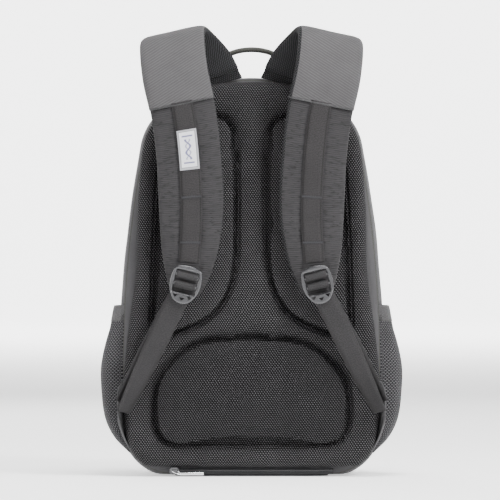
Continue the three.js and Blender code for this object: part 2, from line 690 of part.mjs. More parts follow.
const strapCentreLine = new THREE.CatmullRomCurve3(
  strapStations.map(([out, y, up]) => new THREE.Vector3(out, y, up)),
  false,
  "catmullrom",
  0.5,
);
const strapForm = new THREE.CatmullRomCurve3(
  strapStations.map((s) => new THREE.Vector3(s[3], s[4], s[5])),
  false,
  "catmullrom",
  0.5,
);

// The strap's frame at t from 0 to 1: its centre, the direction to its inner edge,
// its outward normal and its size.
function strapFrame(t, side) {
  const p = strapCentreLine.getPoint(t);
  const before = strapCentreLine.getPoint(Math.max(0, t - 0.004));
  const after = strapCentreLine.getPoint(Math.min(1, t + 0.004));
  const tangent = after.sub(before).normalize();
  const form = strapForm.getPoint(t);
  const inward = new THREE.Vector3(-Math.cos(rad(form.x)), 0, Math.sin(rad(form.x)));
  const normal = inward.clone().cross(tangent).normalize();
  const flip = (v) => new THREE.Vector3(v.x * side, v.y, v.z);
  return { centre: flip(p), inward: flip(inward), normal: flip(normal), width: form.y, thickness: form.z };
}

// The place down the strap's front where its centre is at a height.
function strapAt(height) {
  let [low, high] = [0.4, 1];
  for (let i = 0; i < 30; i += 1) {
    const middle = (low + high) / 2;
    if (strapCentreLine.getPoint(middle).z > height) low = middle;
    else high = middle;
  }
  return low;
}

const padSection = [
  [-1, 0],
  [-0.94, 0.7],
  [-0.6, 1],
  [0.6, 1],
  [0.94, 0.7],
  [1, 0],
  [0.94, -0.7],
  [0.6, -1],
  [-0.6, -1],
  [-0.94, -0.7],
];
const flatSection = [
  [-1, -1],
  [-1, 1],
  [1, 1],
  [1, -1],
];

// A layer on the strap from t0 to t1.
// Its half width and its two faces over the strap's centre come from a function.
function strapLayer(side, t0, t1, steps, section, size) {
  const loops = [];
  for (let i = 0; i <= steps; i += 1) {
    const t = t0 + ((t1 - t0) * i) / steps;
    const f = strapFrame(t, side);
    const { half, low, high } = size(f);
    loops.push(
      section.map(([a, b]) =>
        f.centre
          .clone()
          .addScaledVector(f.inward, a * half)
          .addScaledVector(f.normal, (low + high) / 2 + (b * (high - low)) / 2),
      ),
    );
  }
  return loft(loops);
}

// A closed strip that follows a path in y and z, for webbing seen edge on.
function stripShape(path, thickness) {
  const points = path.map(([y, z]) => new THREE.Vector2(y, z));
  const normals = points.map((p, i) => {
    const a = points[Math.max(0, i - 1)];
    const b = points[Math.min(points.length - 1, i + 1)];
    const along = b.clone().sub(a).normalize();
    return new THREE.Vector2(-along.y, along.x);
  });
  const shift = (d) => points.map((p, i) => p.clone().addScaledVector(normals[i], d));
  return new THREE.Shape([...shift(thickness / 2), ...shift(-thickness / 2).reverse()]);
}

// Webbing once round a buckle's bar and back towards the strap, in the buckle's own frame.
function turnRound(barAt, reach) {
  const clear = 3 + WEBBING_THICKNESS / 2;
  const front = -BUCKLE_THICKNESS / 2 - 1.7;
  return stripShape(
    [
      [reach, barAt + clear],
      [front + 1.6, barAt + clear],
      [front, barAt + 1.6],
      [front, barAt - 1.6],
      [front + 1.6, barAt - clear],
      [reach, barAt - clear],
    ],
    WEBBING_THICKNESS,
  );
}

// A ladder-lock buckle in its own frame: an arched head, two bars across a window, and a round thumb lip.
function buckleFrame() {
  const outline = new THREE.Shape();
  outline.moveTo(-BUCKLE_HALF_WIDTH + 5, BUCKLE_TOP - 3);
  outline.quadraticCurveTo(0, BUCKLE_TOP + 3, BUCKLE_HALF_WIDTH - 5, BUCKLE_TOP - 3);
  outline.quadraticCurveTo(BUCKLE_HALF_WIDTH - 1.5, BUCKLE_TOP - 5, BUCKLE_HALF_WIDTH - 1, 9);
  outline.quadraticCurveTo(BUCKLE_HALF_WIDTH + 1, -6, BUCKLE_HALF_WIDTH - 6, -15);
  outline.quadraticCurveTo(9, BUCKLE_FOOT, 0, BUCKLE_FOOT);
  outline.quadraticCurveTo(-9, BUCKLE_FOOT, -BUCKLE_HALF_WIDTH + 6, -15);
  outline.quadraticCurveTo(-BUCKLE_HALF_WIDTH - 1, -6, -BUCKLE_HALF_WIDTH + 1, 9);
  outline.quadraticCurveTo(-BUCKLE_HALF_WIDTH + 1.5, BUCKLE_TOP - 5, -BUCKLE_HALF_WIDTH + 5, BUCKLE_TOP - 3);
  const half = BUCKLE_THICKNESS / 2;
  let frame = slabY(outline, -half, half, 0.7, 5);
  const bars = [LOOP_BAR_AT, ADJUST_BAR_AT];
  const barEdges = bars.flatMap((z) => [z + BAR_HEIGHT / 2, z - BAR_HEIGHT / 2]);
  const edges = [TOP_BAR_LOWER_EDGE, ...barEdges, LIP_UPPER_EDGE];
  for (let i = 0; i < edges.length; i += 2) {
    frame = frame.subtract(box(-BUCKLE_WINDOW_HALF, BUCKLE_WINDOW_HALF, -9, 9, edges[i + 1], edges[i]));
  }
  [-8.5, 0, 8.5].forEach((x) => {
    const low = BUCKLE_FOOT + 3.6 + Math.abs(x) * 0.32;
    const mark = new THREE.Shape([
      new THREE.Vector2(x - 2.6, low + 2.8),
      new THREE.Vector2(x, low),
      new THREE.Vector2(x + 2.6, low + 2.8),
    ]);
    frame = frame.subtract(slabY(mark, -9, 9));
  });
  return frame;
}

// A flat length of webbing between two points, with its width level with the buckle's bars.
function webbingRun(side, from, to, width) {
  const point = (p) => new THREE.Vector3(side * p.out, p.y, p.up);
  const [a, b] = [point(from), point(to)];
  const along = b.clone().sub(a).normalize();
  const normal = new THREE.Vector3(0, -1, 0).addScaledVector(along, along.y).normalize();
  const across = normal.clone().cross(along).normalize();
  const loop = (p) =>
    flatSection.map(([w, h]) =>
      p
        .clone()
        .addScaledVector(across, (w * width) / 2)
        .addScaledVector(normal, (h * WEBBING_THICKNESS) / 2),
    );
  return loft([loop(a), loop(b)]);
}

const buckleFoot = {
  out: BUCKLE_OUT - Math.sin(rad(BUCKLE_TILT)) * (LIP_UPPER_EDGE + 1),
  up: BUCKLE_HEIGHT_AT + Math.cos(rad(BUCKLE_TILT)) * (LIP_UPPER_EDGE + 1),
};
const tailTop = { out: buckleFoot.out + 4, y: BUCKLE_Y + 4.2, up: buckleFoot.up - 3 };
const lowerTop = { out: buckleFoot.out + 4, y: BUCKLE_Y + 7.2, up: buckleFoot.up - 2 };

function strapPieces(side, name) {
  const seam = strapAt(YOKE_SEAM_HEIGHT);
  const pad = strapLayer(side, 0, 1, 30, padSection, (f) => ({
    half: f.width / 2,
    low: -f.thickness / 2,
    high: f.thickness / 2,
  }));
  add(backpack, `${name}_strap_pad`, pad, colours.foam);
  const yoke = strapLayer(side, 0.03, seam, 18, flatSection, (f) => ({
    half: f.width * 0.28,
    low: f.thickness / 2 + 2 * GAP,
    high: f.thickness / 2 + 2 * GAP + COVER_THICKNESS,
  }));
  add(backpack, `${name}_strap_yoke`, yoke, colours.polyester);
  const lining = strapLayer(side, 0.03, 0.97, 26, flatSection, (f) => ({
    half: f.width * 0.3,
    low: -f.thickness / 2 - GAP - COVER_THICKNESS,
    high: -f.thickness / 2 - GAP,
  }));
  add(backpack, `${name}_strap_lining`, lining, colours.lining);
  const foot = strapAt(BUCKLE_HEIGHT_AT + BUCKLE_TOP + 4);
  const webbing = strapLayer(side, seam + 0.008, foot, 12, flatSection, (f) => ({
    half: WEBBING_WIDTH / 2,
    low: f.thickness / 2 + GAP,
    high: f.thickness / 2 + GAP + WEBBING_THICKNESS,
  }));
  add(backpack, `${name}_strap_webbing`, webbing, colours.webbing);
  if (side < 0) {
    const patch = strapLayer(side, strapAt(LABEL_TOP), strapAt(LABEL_BOTTOM), 4, flatSection, (f) => ({
      half: LABEL_WIDTH / 2,
      low: f.thickness / 2 + 2 * GAP + WEBBING_THICKNESS,
      high: f.thickness / 2 + 2 * GAP + WEBBING_THICKNESS + 1,
    }));
    add(backpack, "strap_label", patch, colours.label);
  }
  const buckle = new THREE.Group();
  buckle.position.set(side * BUCKLE_OUT, BUCKLE_Y, BUCKLE_HEIGHT_AT);
  buckle.rotation.y = -side * rad(BUCKLE_TILT);
  add(buckle, `${name}_buckle`, buckleFrame(), colours.plastic);
  const half = WEBBING_WIDTH / 2;
  add(buckle, `${name}_buckle_loop`, slabX(turnRound(LOOP_BAR_AT, 6.5), -half, half), colours.webbing);
  add(buckle, `${name}_webbing_turn`, slabX(turnRound(ADJUST_BAR_AT, 2.4), -half, half), colours.webbing);
  backpack.add(buckle);
  const tail = webbingRun(side, tailTop, TAIL_END, WEBBING_WIDTH);
  add(backpack, `${name}_webbing_tail`, tail, colours.webbing);
  const apex = { ...WING_APEX, out: WING_APEX.out - 5, up: WING_APEX.up + 8 };
  add(backpack, `${name}_lower_webbing`, webbingRun(side, lowerTop, apex, WEBBING_WIDTH), colours.webbing);
}

// A corner wing: a cloth tab from the back panel's side seam to the foot of the lower webbing.
function wingPieces(side, name) {
  const rim = (height) => halfWidthAt(Math.max(height, BASE_CORNER_RADIUS));
  const seamY = POCKET_BACK_Y - 2;
  const edge = (out, y, up) => new THREE.Vector3(side * out, y, up);
  const loop = (top, bottom, y) => [
    edge(top.out, y, top.up),
    edge(top.out + WING_THICKNESS, y, top.up),
    edge(bottom.out + WING_THICKNESS, y, bottom.up),
    edge(bottom.out, y, bottom.up),
  ];
  const upper = { out: rim(WING_TOP) + 1, up: WING_TOP };
  const lower = { out: rim(WING_BOTTOM) - 3, up: WING_BOTTOM };
  const seam = loop(upper, lower, seamY);
  const tip = loop(
    { out: WING_APEX.out, up: WING_APEX.up + 10 },
    { out: WING_APEX.out, up: WING_APEX.up - 14 },
    WING_APEX.y + 2,
  );
  add(backpack, `${name}_wing`, loft([seam, tip]), colours.polyester);
}

bodyPieces();
sleevePieces();
panelPieces();
add(backpack, "lid_shell", hollow.intersect(lidRegion).intersect(mainBody(0)), colours.polyester);
mainZipPieces();
frontPocketPieces();
baseZipPieces();
handlePieces();
[
  [-1, "left"],
  [1, "right"],
].forEach(([side, name]) => {
  pocketPieces(side, name);
  wingPieces(side, name);
  strapPieces(side, name);
});

export default backpack;
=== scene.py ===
# %% [markdown]
# A school backpack, seen from the side that is worn against the back. The imported model is the frame: every
# piece below sits where its solids say, in metres, with +Z up and the shoulder straps towards -Y. We load
# it first.

# %% Load the frame
import math

import bmesh
import bpy
import numpy as np
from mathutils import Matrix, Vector


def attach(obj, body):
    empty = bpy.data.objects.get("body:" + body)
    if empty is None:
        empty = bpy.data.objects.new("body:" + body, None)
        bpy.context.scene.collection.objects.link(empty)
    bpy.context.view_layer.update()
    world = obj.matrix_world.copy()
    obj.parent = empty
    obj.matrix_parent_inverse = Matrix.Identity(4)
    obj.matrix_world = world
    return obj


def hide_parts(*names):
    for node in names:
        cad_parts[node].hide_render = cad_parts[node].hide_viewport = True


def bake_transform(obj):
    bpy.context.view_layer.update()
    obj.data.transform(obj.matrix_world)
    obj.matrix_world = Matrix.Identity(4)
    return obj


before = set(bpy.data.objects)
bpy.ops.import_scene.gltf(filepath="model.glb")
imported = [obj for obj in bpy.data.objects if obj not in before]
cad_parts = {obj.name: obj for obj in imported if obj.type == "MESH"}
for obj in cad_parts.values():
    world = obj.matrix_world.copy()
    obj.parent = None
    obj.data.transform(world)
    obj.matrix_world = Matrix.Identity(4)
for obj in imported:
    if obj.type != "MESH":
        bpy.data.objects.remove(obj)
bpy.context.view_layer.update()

MM = 0.001
SIDES = {"left": -1, "right": 1}

# %% [markdown]
# The camera looks level at the straps from far away through a long lens, because a bag shown in a catalogue
# has almost no perspective. An orthographic camera would show none at all, but a real lens is kept, so that
# the straps in front still look a little larger than the back.

# %% Camera
SENSOR_WIDTH = 36
VIEW_WIDTH = 0.585
CAMERA_DISTANCE = 7.0
FOCUS = Vector((-0.0018, -0.10, 0.2656))
camera_data = bpy.data.cameras.new("camera")
camera_data.sensor_width = SENSOR_WIDTH
camera_data.lens = SENSOR_WIDTH * CAMERA_DISTANCE / VIEW_WIDTH
camera_data.clip_end = 40
camera = bpy.data.objects.new("camera", camera_data)
bpy.context.scene.collection.objects.link(camera)
camera.location = FOCUS + Vector((0, -CAMERA_DISTANCE, 0))
camera.rotation_euler = (math.pi / 2, 0, 0)
bpy.context.scene.camera = camera
print("lens", round(camera_data.lens), "mm")

# %% [markdown]
# Dark cloth needs a key light from one side, so that the pads and seams throw soft shadows, and a weak fill
# from the other. Square area lights do this with few settings. A last lamp only lights the wall behind.


# %% Lights
def area_light(name, place, target, size, power):
    """A square lamp at a place in metres, turned to look at a target."""
    data = bpy.data.lights.new(name, "AREA")
    data.shape = "SQUARE"
    data.size = size
    data.energy = power
    lamp = bpy.data.objects.new(name, data)
    lamp.location = place
    lamp.rotation_euler = (Vector(target) - Vector(place)).to_track_quat("-Z", "Y").to_euler()
    bpy.context.scene.collection.objects.link(lamp)


area_light("key_light", (1.9, -2.3, 2.1), (0, -0.05, 0.25), 0.9, 150)
area_light("fill_light", (-2.6, -1.6, 0.9), (0, -0.05, 0.25), 1.0, 26)
area_light("top_light", (0.3, -0.7, 2.6), (0, 0, 0.4), 1.2, 95)
area_light("back_light", (-1.2, 2.6, 1.8), (0, 0, 0.3), 1.8, 60)
area_light("backdrop_light", (0, 10.0, 7.5), (0, 18.0, 1.0), 4.0, 2600)
world = bpy.data.worlds.new("studio")
bpy.context.scene.world = world
world.use_nodes = True
world.node_tree.nodes["Background"].inputs["Color"].default_value = (1, 1, 1, 1)
world.node_tree.nodes["Background"].inputs["Strength"].default_value = 0.2

# %% [markdown]
# The floor is a wide shallow bowl of pale paper that turns up into a wall, as in a studio, so no horizon
# cuts behind the bag from any side. A plane and a wall would show their seam, so one profile is carried
# round the bag. The helpers that turn a grid of points into a mesh serve every later piece too.


# %% Floor
def mesh_piece(name, points, faces, uv=None):
    """A smooth mesh from points in millimetres and lists of corner numbers. uv has one pair, in millimetres
    too, for each point."""
    mesh = bpy.data.meshes.new(name)
    mesh.from_pydata((np.asarray(points, float) * MM).tolist(), [], faces)
    if uv is not None:
        corner = np.empty(len(mesh.loops), np.int32)
        mesh.loops.foreach_get("vertex_index", corner)
        layer = mesh.uv_layers.new(name="cloth")
        layer.data.foreach_set("uv", (np.asarray(uv, np.float32) * MM)[corner].ravel())
    mesh.shade_smooth()
    piece = bpy.data.objects.new(name, mesh)
    bpy.context.scene.collection.objects.link(piece)
    return piece


def grid_faces(rows, columns, around=False, along=False):
    """Quads between neighbouring points of a rows by columns grid. around joins the last column to the
    first, and along joins the last row to the first."""
    i = np.arange(rows if along else rows - 1)
    j = np.arange(columns if around else columns - 1)
    i, j = np.meshgrid(i, j, indexing="ij")
    here, below = i * columns, (i + 1) % rows * columns
    after = (j + 1) % columns
    return np.stack([here + j, here + after, below + after, below + j], -1).reshape(-1, 4)


def together(*parts):
    """Coordinates of different shapes spread over one grid and stacked into points."""
    return np.stack(np.broadcast_arrays(*parts), -1)


def circle(count):
    """Angles that divide a turn into equal steps."""
    return np.linspace(0, 2 * math.pi, count + 1)[:-1]


FLAT, CURVE, WALL_TOP = 16000, 2000, 11000
turn = np.linspace(0.1, math.pi / 2, 12)
flat_steps = np.linspace(400, FLAT, 12)
radius = np.concatenate([[1.0], flat_steps, FLAT + CURVE * np.sin(turn), [FLAT + CURVE]])[:, None]
rise = np.concatenate([np.zeros(13), CURVE * (1 - np.cos(turn)), [WALL_TOP]])[:, None]
bowl = together(radius * np.cos(circle(96)), radius * np.sin(circle(96)), rise)
floor = mesh_piece("floor", bowl.reshape(-1, 3), grid_faces(len(radius), 96, around=True).tolist())
paper = bpy.data.materials.new("backdrop_paper")
paper.use_nodes = True
paper_inputs = paper.node_tree.nodes["Principled BSDF"].inputs
paper_inputs["Base Color"].default_value = (0.93, 0.93, 0.93, 1)
paper_inputs["Roughness"].default_value = 0.9
paper_inputs["Emission Color"].default_value = (1, 1, 1, 1)
paper_inputs["Emission Strength"].default_value = 0.7
floor.data.materials.append(paper)
print("floor and backdrop:", bowl.shape)

# %% [markdown]
# Cloth is told from cloth by its small pattern. A pattern could be an image, but then it would have one
# size and would blur close up, so each is a node group that turns a position in millimetres into a height
# or a tone. Groups are built once and placed in several materials, each with its own sizes.


# %% Node helpers
class Nodes:
    """A short way to add nodes and join them in one tree."""

    def __init__(self, tree):
        self.tree = tree

    def add(self, kind, inputs=None, **settings):
        """A node with its settings. Each input takes a value, or a link if it is given another's output."""
        node = self.tree.nodes.new(kind)
        for key, value in settings.items():
            setattr(node, key, value)
        for key, value in (inputs or {}).items():
            if isinstance(value, bpy.types.NodeSocket):
                self.tree.links.new(value, node.inputs[key])
            else:
                node.inputs[key].default_value = value
        return node

    def math(self, operation, *values):
        return self.add("ShaderNodeMath", dict(enumerate(values)), operation=operation).outputs[0]

    def plus(self, a, b):
        return self.math("ADD", a, b)

    def minus(self, a, b):
        return self.math("SUBTRACT", a, b)

    def times(self, a, b):
        return self.math("MULTIPLY", a, b)

    def over(self, a, b):
        return self.math("DIVIDE", a, b)

    def size(self, a):
        """a without its sign."""
        return self.math("ABSOLUTE", a)

    def larger(self, a, b):
        return self.math("MAXIMUM", a, b)

    def smooth(self, value, low, high):
        """0 below low and 1 above high, with a soft step between them. low may be the larger one."""
        node = self.add(
            "ShaderNodeMapRange",
            {"Value": value, "From Min": low, "From Max": high},
            interpolation_type="SMOOTHSTEP",
        )
        return node.outputs["Result"]

    def mix(self, factor, a, b):
        """Colour a where the factor is 0 and colour b where it is 1."""
        node = self.add("ShaderNodeMix", {"Factor": factor}, data_type="RGBA")
        for key, value in ((6, a), (7, b)):
            if isinstance(value, bpy.types.NodeSocket):
                self.tree.links.new(value, node.inputs[key])
            else:
                node.inputs[key].default_value = (*value, 1)
        return node.outputs[2]


def group(name, inputs, outputs):
    """A new node group with its nodes and its two ends. inputs is {name: (socket kind, value)}, and outputs
    is {name: socket kind}."""
    tree = bpy.data.node_groups.new(name, "ShaderNodeTree")
    for key, (kind, value) in inputs.items():
        socket = tree.interface.new_socket(key, in_out="INPUT", socket_type=f"NodeSocket{kind}")
        if value is not None:
            socket.default_value = value
    for key, kind in outputs.items():
        tree.interface.new_socket(key, in_out="OUTPUT", socket_type=f"NodeSocket{kind}")
    n = Nodes(tree)
    start = n.add("NodeGroupInput")
    end = n.add("NodeGroupOutput")
    return n, start.outputs, end.inputs


# %% Air mesh group
def air_mesh_group():
    """Staggered oval knots with openings between them. Rows are a row pitch apart, every second row is
    moved half a pitch along, and the mask is 1 inside an ellipse round each cell's centre and 0 in the
    openings. Lean stretches the ellipses along one diagonal, so that the rows of knots read as slanting
    lines."""
    n, given, result = group(
        "air_mesh_knots",
        {"Vector": ("Vector", None), "Pitch": ("Float", 3.6), "Row": ("Float", 2.15), "Size": ("Float", 0.36),
         "Lean": ("Float", 0.0)},
        {"Knot": "Float"},
    )
    place = n.add("ShaderNodeSeparateXYZ", {0: given["Vector"]}).outputs
    row = n.over(place["Z"], given["Row"])
    whole = n.math("FLOOR", row)
    shift = n.times(n.math("MODULO", n.size(whole), 2.0), 0.5)
    column = n.plus(n.over(place["X"], given["Pitch"]), shift)
    u = n.minus(n.math("FRACT", column), 0.5)
    v = n.times(n.minus(n.math("FRACT", row), 0.5), 0.82)
    squares = n.plus(n.times(u, u), n.times(v, v))
    distance = n.math("SQRT", n.plus(squares, n.times(n.times(u, v), given["Lean"])))
    mask = n.smooth(distance, n.plus(given["Size"], 0.09), n.minus(given["Size"], 0.13))
    n.tree.links.new(mask, result["Knot"])
    return n.tree


AIR_MESH = air_mesh_group()
print("group:", AIR_MESH.name)


# %% Weave group
def weave_group():
    """Two crossed sets of threads. Each set is a sine across its threads, and the higher set shows. Slant
    and Rise turn the sets away from the cloth's own directions, as in a twill."""
    n, given, result = group(
        "woven_threads",
        {"Vector": ("Vector", None), "Warp": ("Float", 0.8), "Weft": ("Float", 0.8), "Slant": ("Float", 0.0),
         "Rise": ("Float", 0.0)},
        {"Height": "Float"},
    )
    place = n.add("ShaderNodeSeparateXYZ", {0: given["Vector"]}).outputs
    slanted = n.plus(place["X"], n.times(place["Y"], given["Slant"]))
    warp = n.math("SINE", n.over(n.times(slanted, 2 * math.pi), given["Warp"]))
    rising = n.plus(place["Y"], n.times(place["X"], given["Rise"]))
    weft = n.math("SINE", n.over(n.times(rising, 2 * math.pi), given["Weft"]))
    height = n.times(n.plus(n.larger(n.times(warp, 0.7), weft), 1.0), 0.5)
    n.tree.links.new(height, result["Height"])
    return n.tree


WEAVE = weave_group()
print("group:", WEAVE.name)


# %% Wear group
def wear_group():
    """Cloud-like change of tone, from large soft patches and small lint, about a middle of 1."""
    n, given, result = group(
        "cloth_wear",
        {"Vector": ("Vector", None), "Amount": ("Float", 0.15)},
        {"Tone": "Float"},
    )
    large = n.add("ShaderNodeTexNoise", {"Vector": given["Vector"], "Scale": 0.03, "Detail": 4.0}).outputs[0]
    small = n.add("ShaderNodeTexNoise", {"Vector": given["Vector"], "Scale": 0.6, "Detail": 2.0}).outputs[0]
    both = n.plus(n.minus(large, 0.5), n.times(n.minus(small, 0.5), 0.6))
    tone = n.plus(1.0, n.times(both, given["Amount"]))
    n.tree.links.new(tone, result["Tone"])
    return n.tree


WEAR = wear_group()
print("group:", WEAR.name)


# %% Wrinkle group
def wrinkle_group():
    """Short irregular creases that run across a band: noise stretched along X, with a narrow valley
    wherever the noise passes a middle value."""
    n, given, result = group(
        "cross_wrinkles",
        {"Vector": ("Vector", None), "Length": ("Float", 14.0), "Spacing": ("Float", 3.0)},
        {"Height": "Float", "Crease": "Float"},
    )
    place = n.add("ShaderNodeSeparateXYZ", {0: given["Vector"]}).outputs
    shares = {0: n.over(place["X"], given["Length"]), 1: n.over(place["Y"], given["Spacing"])}
    stretched = n.add("ShaderNodeCombineXYZ", shares).outputs[0]
    settings = {"Vector": stretched, "Scale": 1.0, "Detail": 1.0, "Distortion": 0.2}
    noise = n.add("ShaderNodeTexNoise", settings).outputs[0]
    valley = n.smooth(n.size(n.minus(noise, 0.46)), 0.05, 0.0)
    n.tree.links.new(n.minus(noise, n.times(valley, 0.25)), result["Height"])
    # Crease marks the valleys, and woven_material paints shade into them.
    n.tree.links.new(valley, result["Crease"])
    return n.tree


WRINKLES = wrinkle_group()
print("group:", WRINKLES.name)


# %% [markdown]
# A material is a Principled shader with a colour and a bump. The mesh over the pads reads its place in
# space, so that its rows run level over every pad, and cloths that follow a band or a wall read the cloth's
# own lengths, which each piece keeps in its UV map in metres.


# %% Material helper
def cloth_material(name, build, roughness=0.85, sheen=0.0, specular=0.1):
    """A Principled material. build takes the nodes, the place in space and the place on the cloth, both in
    millimetres, and gives back a colour, a height and the height's depth in millimetres."""
    material = bpy.data.materials.new(name)
    material.use_nodes = True
    n = Nodes(material.node_tree)
    shader = material.node_tree.nodes["Principled BSDF"]
    shader.inputs["Roughness"].default_value = roughness
    shader.inputs["Specular IOR Level"].default_value = specular
    if sheen:
        shader.inputs["Sheen Weight"].default_value = sheen
        shader.inputs["Sheen Roughness"].default_value = 0.5
    source = n.add("ShaderNodeTexCoord").outputs
    place = n.add("ShaderNodeMapping", {"Vector": source["Object"], "Scale": (1000, 1000, 1000)}).outputs[0]
    cloth = n.add("ShaderNodeMapping", {"Vector": source["UV"], "Scale": (1000, 1000, 1000)}).outputs[0]
    colour, height, depth = build(n, place, cloth)
    n.tree.links.new(colour, shader.inputs["Base Color"])
    bump = n.add("ShaderNodeBump", {"Height": height, "Distance": depth * MM, "Strength": 1.0})
    n.tree.links.new(bump.outputs[0], shader.inputs["Normal"])
    return material


def place_group(n, tree, **inputs):
    """A node group set in a material, with its inputs."""
    return n.add("ShaderNodeGroup", inputs, node_tree=tree).outputs


def times_tone(n, colour, tone):
    """Each part of a colour times a tone."""
    grey = n.add("ShaderNodeCombineXYZ", {0: tone, 1: tone, 2: tone}).outputs[0]
    return n.add("ShaderNodeVectorMath", {0: colour, 1: grey}, operation="MULTIPLY").outputs[0]


def shade(colour, factor):
    """A plain colour made darker or lighter."""
    return tuple(min(1, c * factor) for c in colour)


# %% Mesh and cloth materials
def air_mesh_material(name, knit, hole_shade, pitch=3.05, row=2.18, depth=0.8, by_cloth=False, size=0.37,
                      lean=0.0):
    """Knots in the knit's colour over openings painted near black, as painted shade inside the mesh's holes.
    A slow noise moves the pattern, so its rows waver.
    """

    def build(n, place, cloth):
        where = place
        if by_cloth:
            split = n.add("ShaderNodeSeparateXYZ", {0: cloth}).outputs
            where = n.add("ShaderNodeCombineXYZ", {0: split[0], 2: split[1]}).outputs[0]
        wobble = n.add("ShaderNodeTexNoise", {"Vector": place, "Scale": 0.05, "Detail": 1.0}).outputs["Color"]
        moved = times_tone(n, wobble, 3.0)
        where = n.add("ShaderNodeVectorMath", {0: where, 1: moved}, operation="ADD").outputs[0]
        mesh = place_group(n, AIR_MESH, Vector=where, Pitch=pitch, Row=row, Size=size, Lean=lean)
        wear = place_group(n, WEAR, Vector=place, Amount=0.5)
        # The openings get painted shade: the near black of the shade inside the holes.
        colour = n.mix(mesh["Knot"], hole_shade, knit)
        return times_tone(n, colour, wear["Tone"]), mesh["Knot"], depth

    return cloth_material(name, build, roughness=0.8, specular=0.12)


def woven_material(name, colour, warp=0.9, weft=0.9, slant=0.0, depth=0.1, contrast=0.35, rise=0.0,
                   creases=0.0, crease_size=(14, 3), **rest):
    """Cloth with two sets of threads. creases above 0 adds short wrinkles across it and paints shade into
    their valleys."""

    def build(n, place, cloth):
        threads = place_group(n, WEAVE, Vector=cloth, Warp=warp, Weft=weft, Slant=slant, Rise=rise)
        tone = place_group(n, WEAR, Vector=place, Amount=0.35)["Tone"]
        height = threads["Height"]
        shown = n.mix(height, shade(colour, 1 - contrast), shade(colour, 1 + contrast))
        if creases:
            folds = place_group(n, WRINKLES, Vector=cloth, Length=crease_size[0], Spacing=crease_size[1])
            # Painted shade: the valleys of the creases are darkened to 0.35 of the cloth's colour.
            shown = n.mix(n.times(folds["Crease"], creases), shown, shade(colour, 0.35))
            height = n.plus(n.times(height, 0.3), n.times(folds["Height"], 2.5 * creases))
        return times_tone(n, shown, tone), height, depth

    return cloth_material(name, build, **rest)


# The second colour of each pair is painted shade, the near black inside the mesh's holes.
KNIT, HOLE_SHADE = (0.09, 0.087, 0.091), (0.0008, 0.0008, 0.001)
# The lumbar knit is darker than the knit above it as painted shade, since less light reaches the bag's lower
# part.
SHADED_LUMBAR_KNIT, LUMBAR_HOLE_SHADE = (0.06, 0.058, 0.061), (0.0006, 0.0006, 0.0008)
POCKET_KNIT, POCKET_HOLE_SHADE = (0.082, 0.08, 0.084), (0.003, 0.003, 0.0035)
LINING_KNIT, LINING_HOLE_SHADE = (0.034, 0.034, 0.036), (0.002, 0.002, 0.002)
POLYESTER, TWILL, RIB_CLOTH = (0.048, 0.047, 0.049), (0.052, 0.0505, 0.052), (0.024, 0.0232, 0.0242)
MATERIALS = {
    "air_mesh": air_mesh_material("air_mesh", KNIT, HOLE_SHADE, depth=1.2, size=0.28, lean=0.5),
    "frame_mesh": air_mesh_material(
        "frame_mesh", KNIT, HOLE_SHADE, depth=1.2, size=0.28, lean=0.4, by_cloth=True),
    "lumbar_mesh": air_mesh_material(
        "lumbar_mesh", SHADED_LUMBAR_KNIT, LUMBAR_HOLE_SHADE, depth=1.2, size=0.27, lean=0.8),
    "pocket_mesh": air_mesh_material("pocket_mesh", POCKET_KNIT, POCKET_HOLE_SHADE, 3.1, 2.0, 0.5, True),
    "strap_mesh": air_mesh_material("strap_mesh", LINING_KNIT, LINING_HOLE_SHADE, 2.6, 1.8, 0.5, True),
    "polyester": woven_material("polyester", POLYESTER, depth=0.1, contrast=0.18, sheen=0.06),
    "twill": woven_material("twill", TWILL, 1.2, 2.9, depth=0.3, contrast=0.42, rise=0.36, sheen=0.08),
    "rib_cloth": woven_material(
        "rib_cloth", RIB_CLOTH, 1.1, 2.3, depth=0.5, contrast=0.45, creases=0.6, crease_size=(24, 2.6),
        sheen=0.06),
    "lining": woven_material("lining", (0.035, 0.035, 0.038), 0.8, 0.8, depth=0.08, contrast=0.2),
    "handle": woven_material("handle", (0.04, 0.04, 0.036), 1.6, 1.6, slant=0.6, depth=0.3, contrast=0.4),
    "zip_tape": woven_material("zip_tape", (0.02, 0.02, 0.021), 0.9, 0.7, depth=0.1, contrast=0.3),
}
print("cloths:", sorted(MATERIALS))

# %% [markdown]
# Webbing is told by its ribs, a groove of painted shade near each edge and its rows of stitches. They could
# be modelled, but at this size a bump reads the same, and the piece's own coordinates say how far each place
# is from the edge.


# %% Webbing material
def webbing_material(name, colour, half_width, rib=1.9, stitch_in=2.0, depth=0.3):
    """Ribs across the length, heathered by noise, and a dashed row of stitches in a groove of painted shade
    at a distance stitch_in from each edge. Below 0 the line falls outside the webbing, which leaves it plain."""

    def build(n, place, cloth):
        across = n.add("ShaderNodeSeparateXYZ", {0: cloth}).outputs
        edge = n.minus(half_width, n.size(across["X"]))
        threads = place_group(n, WEAVE, Vector=cloth, Warp=1.25, Weft=rib, Slant=0.0)
        tone = place_group(n, WEAR, Vector=place, Amount=0.3)["Tone"]
        line = n.smooth(n.size(n.minus(edge, stitch_in)), 0.75, 0.2)
        along = n.math("FRACT", n.over(across["Y"], 3.2))
        stitch = n.times(line, n.smooth(n.size(n.minus(along, 0.5)), 0.42, 0.36))
        heather = n.add("ShaderNodeTexNoise", {"Vector": cloth, "Scale": 0.75, "Detail": 2.0}).outputs[0]
        light = n.times(n.plus(threads["Height"], n.smooth(heather, 0.35, 0.65)), 0.5)
        ribs = n.mix(light, shade(colour, 0.45), shade(colour, 1.6))
        # Painted shade: the groove between the stitches is darkened to 0.22 of the colour.
        shown = n.mix(stitch, n.mix(line, ribs, shade(colour, 0.22)), shade(colour, 0.8))
        height = n.plus(n.times(threads["Height"], 0.5), n.minus(stitch, line))
        return times_tone(n, shown, tone), height, depth

    return cloth_material(name, build, roughness=0.7, specular=0.15)


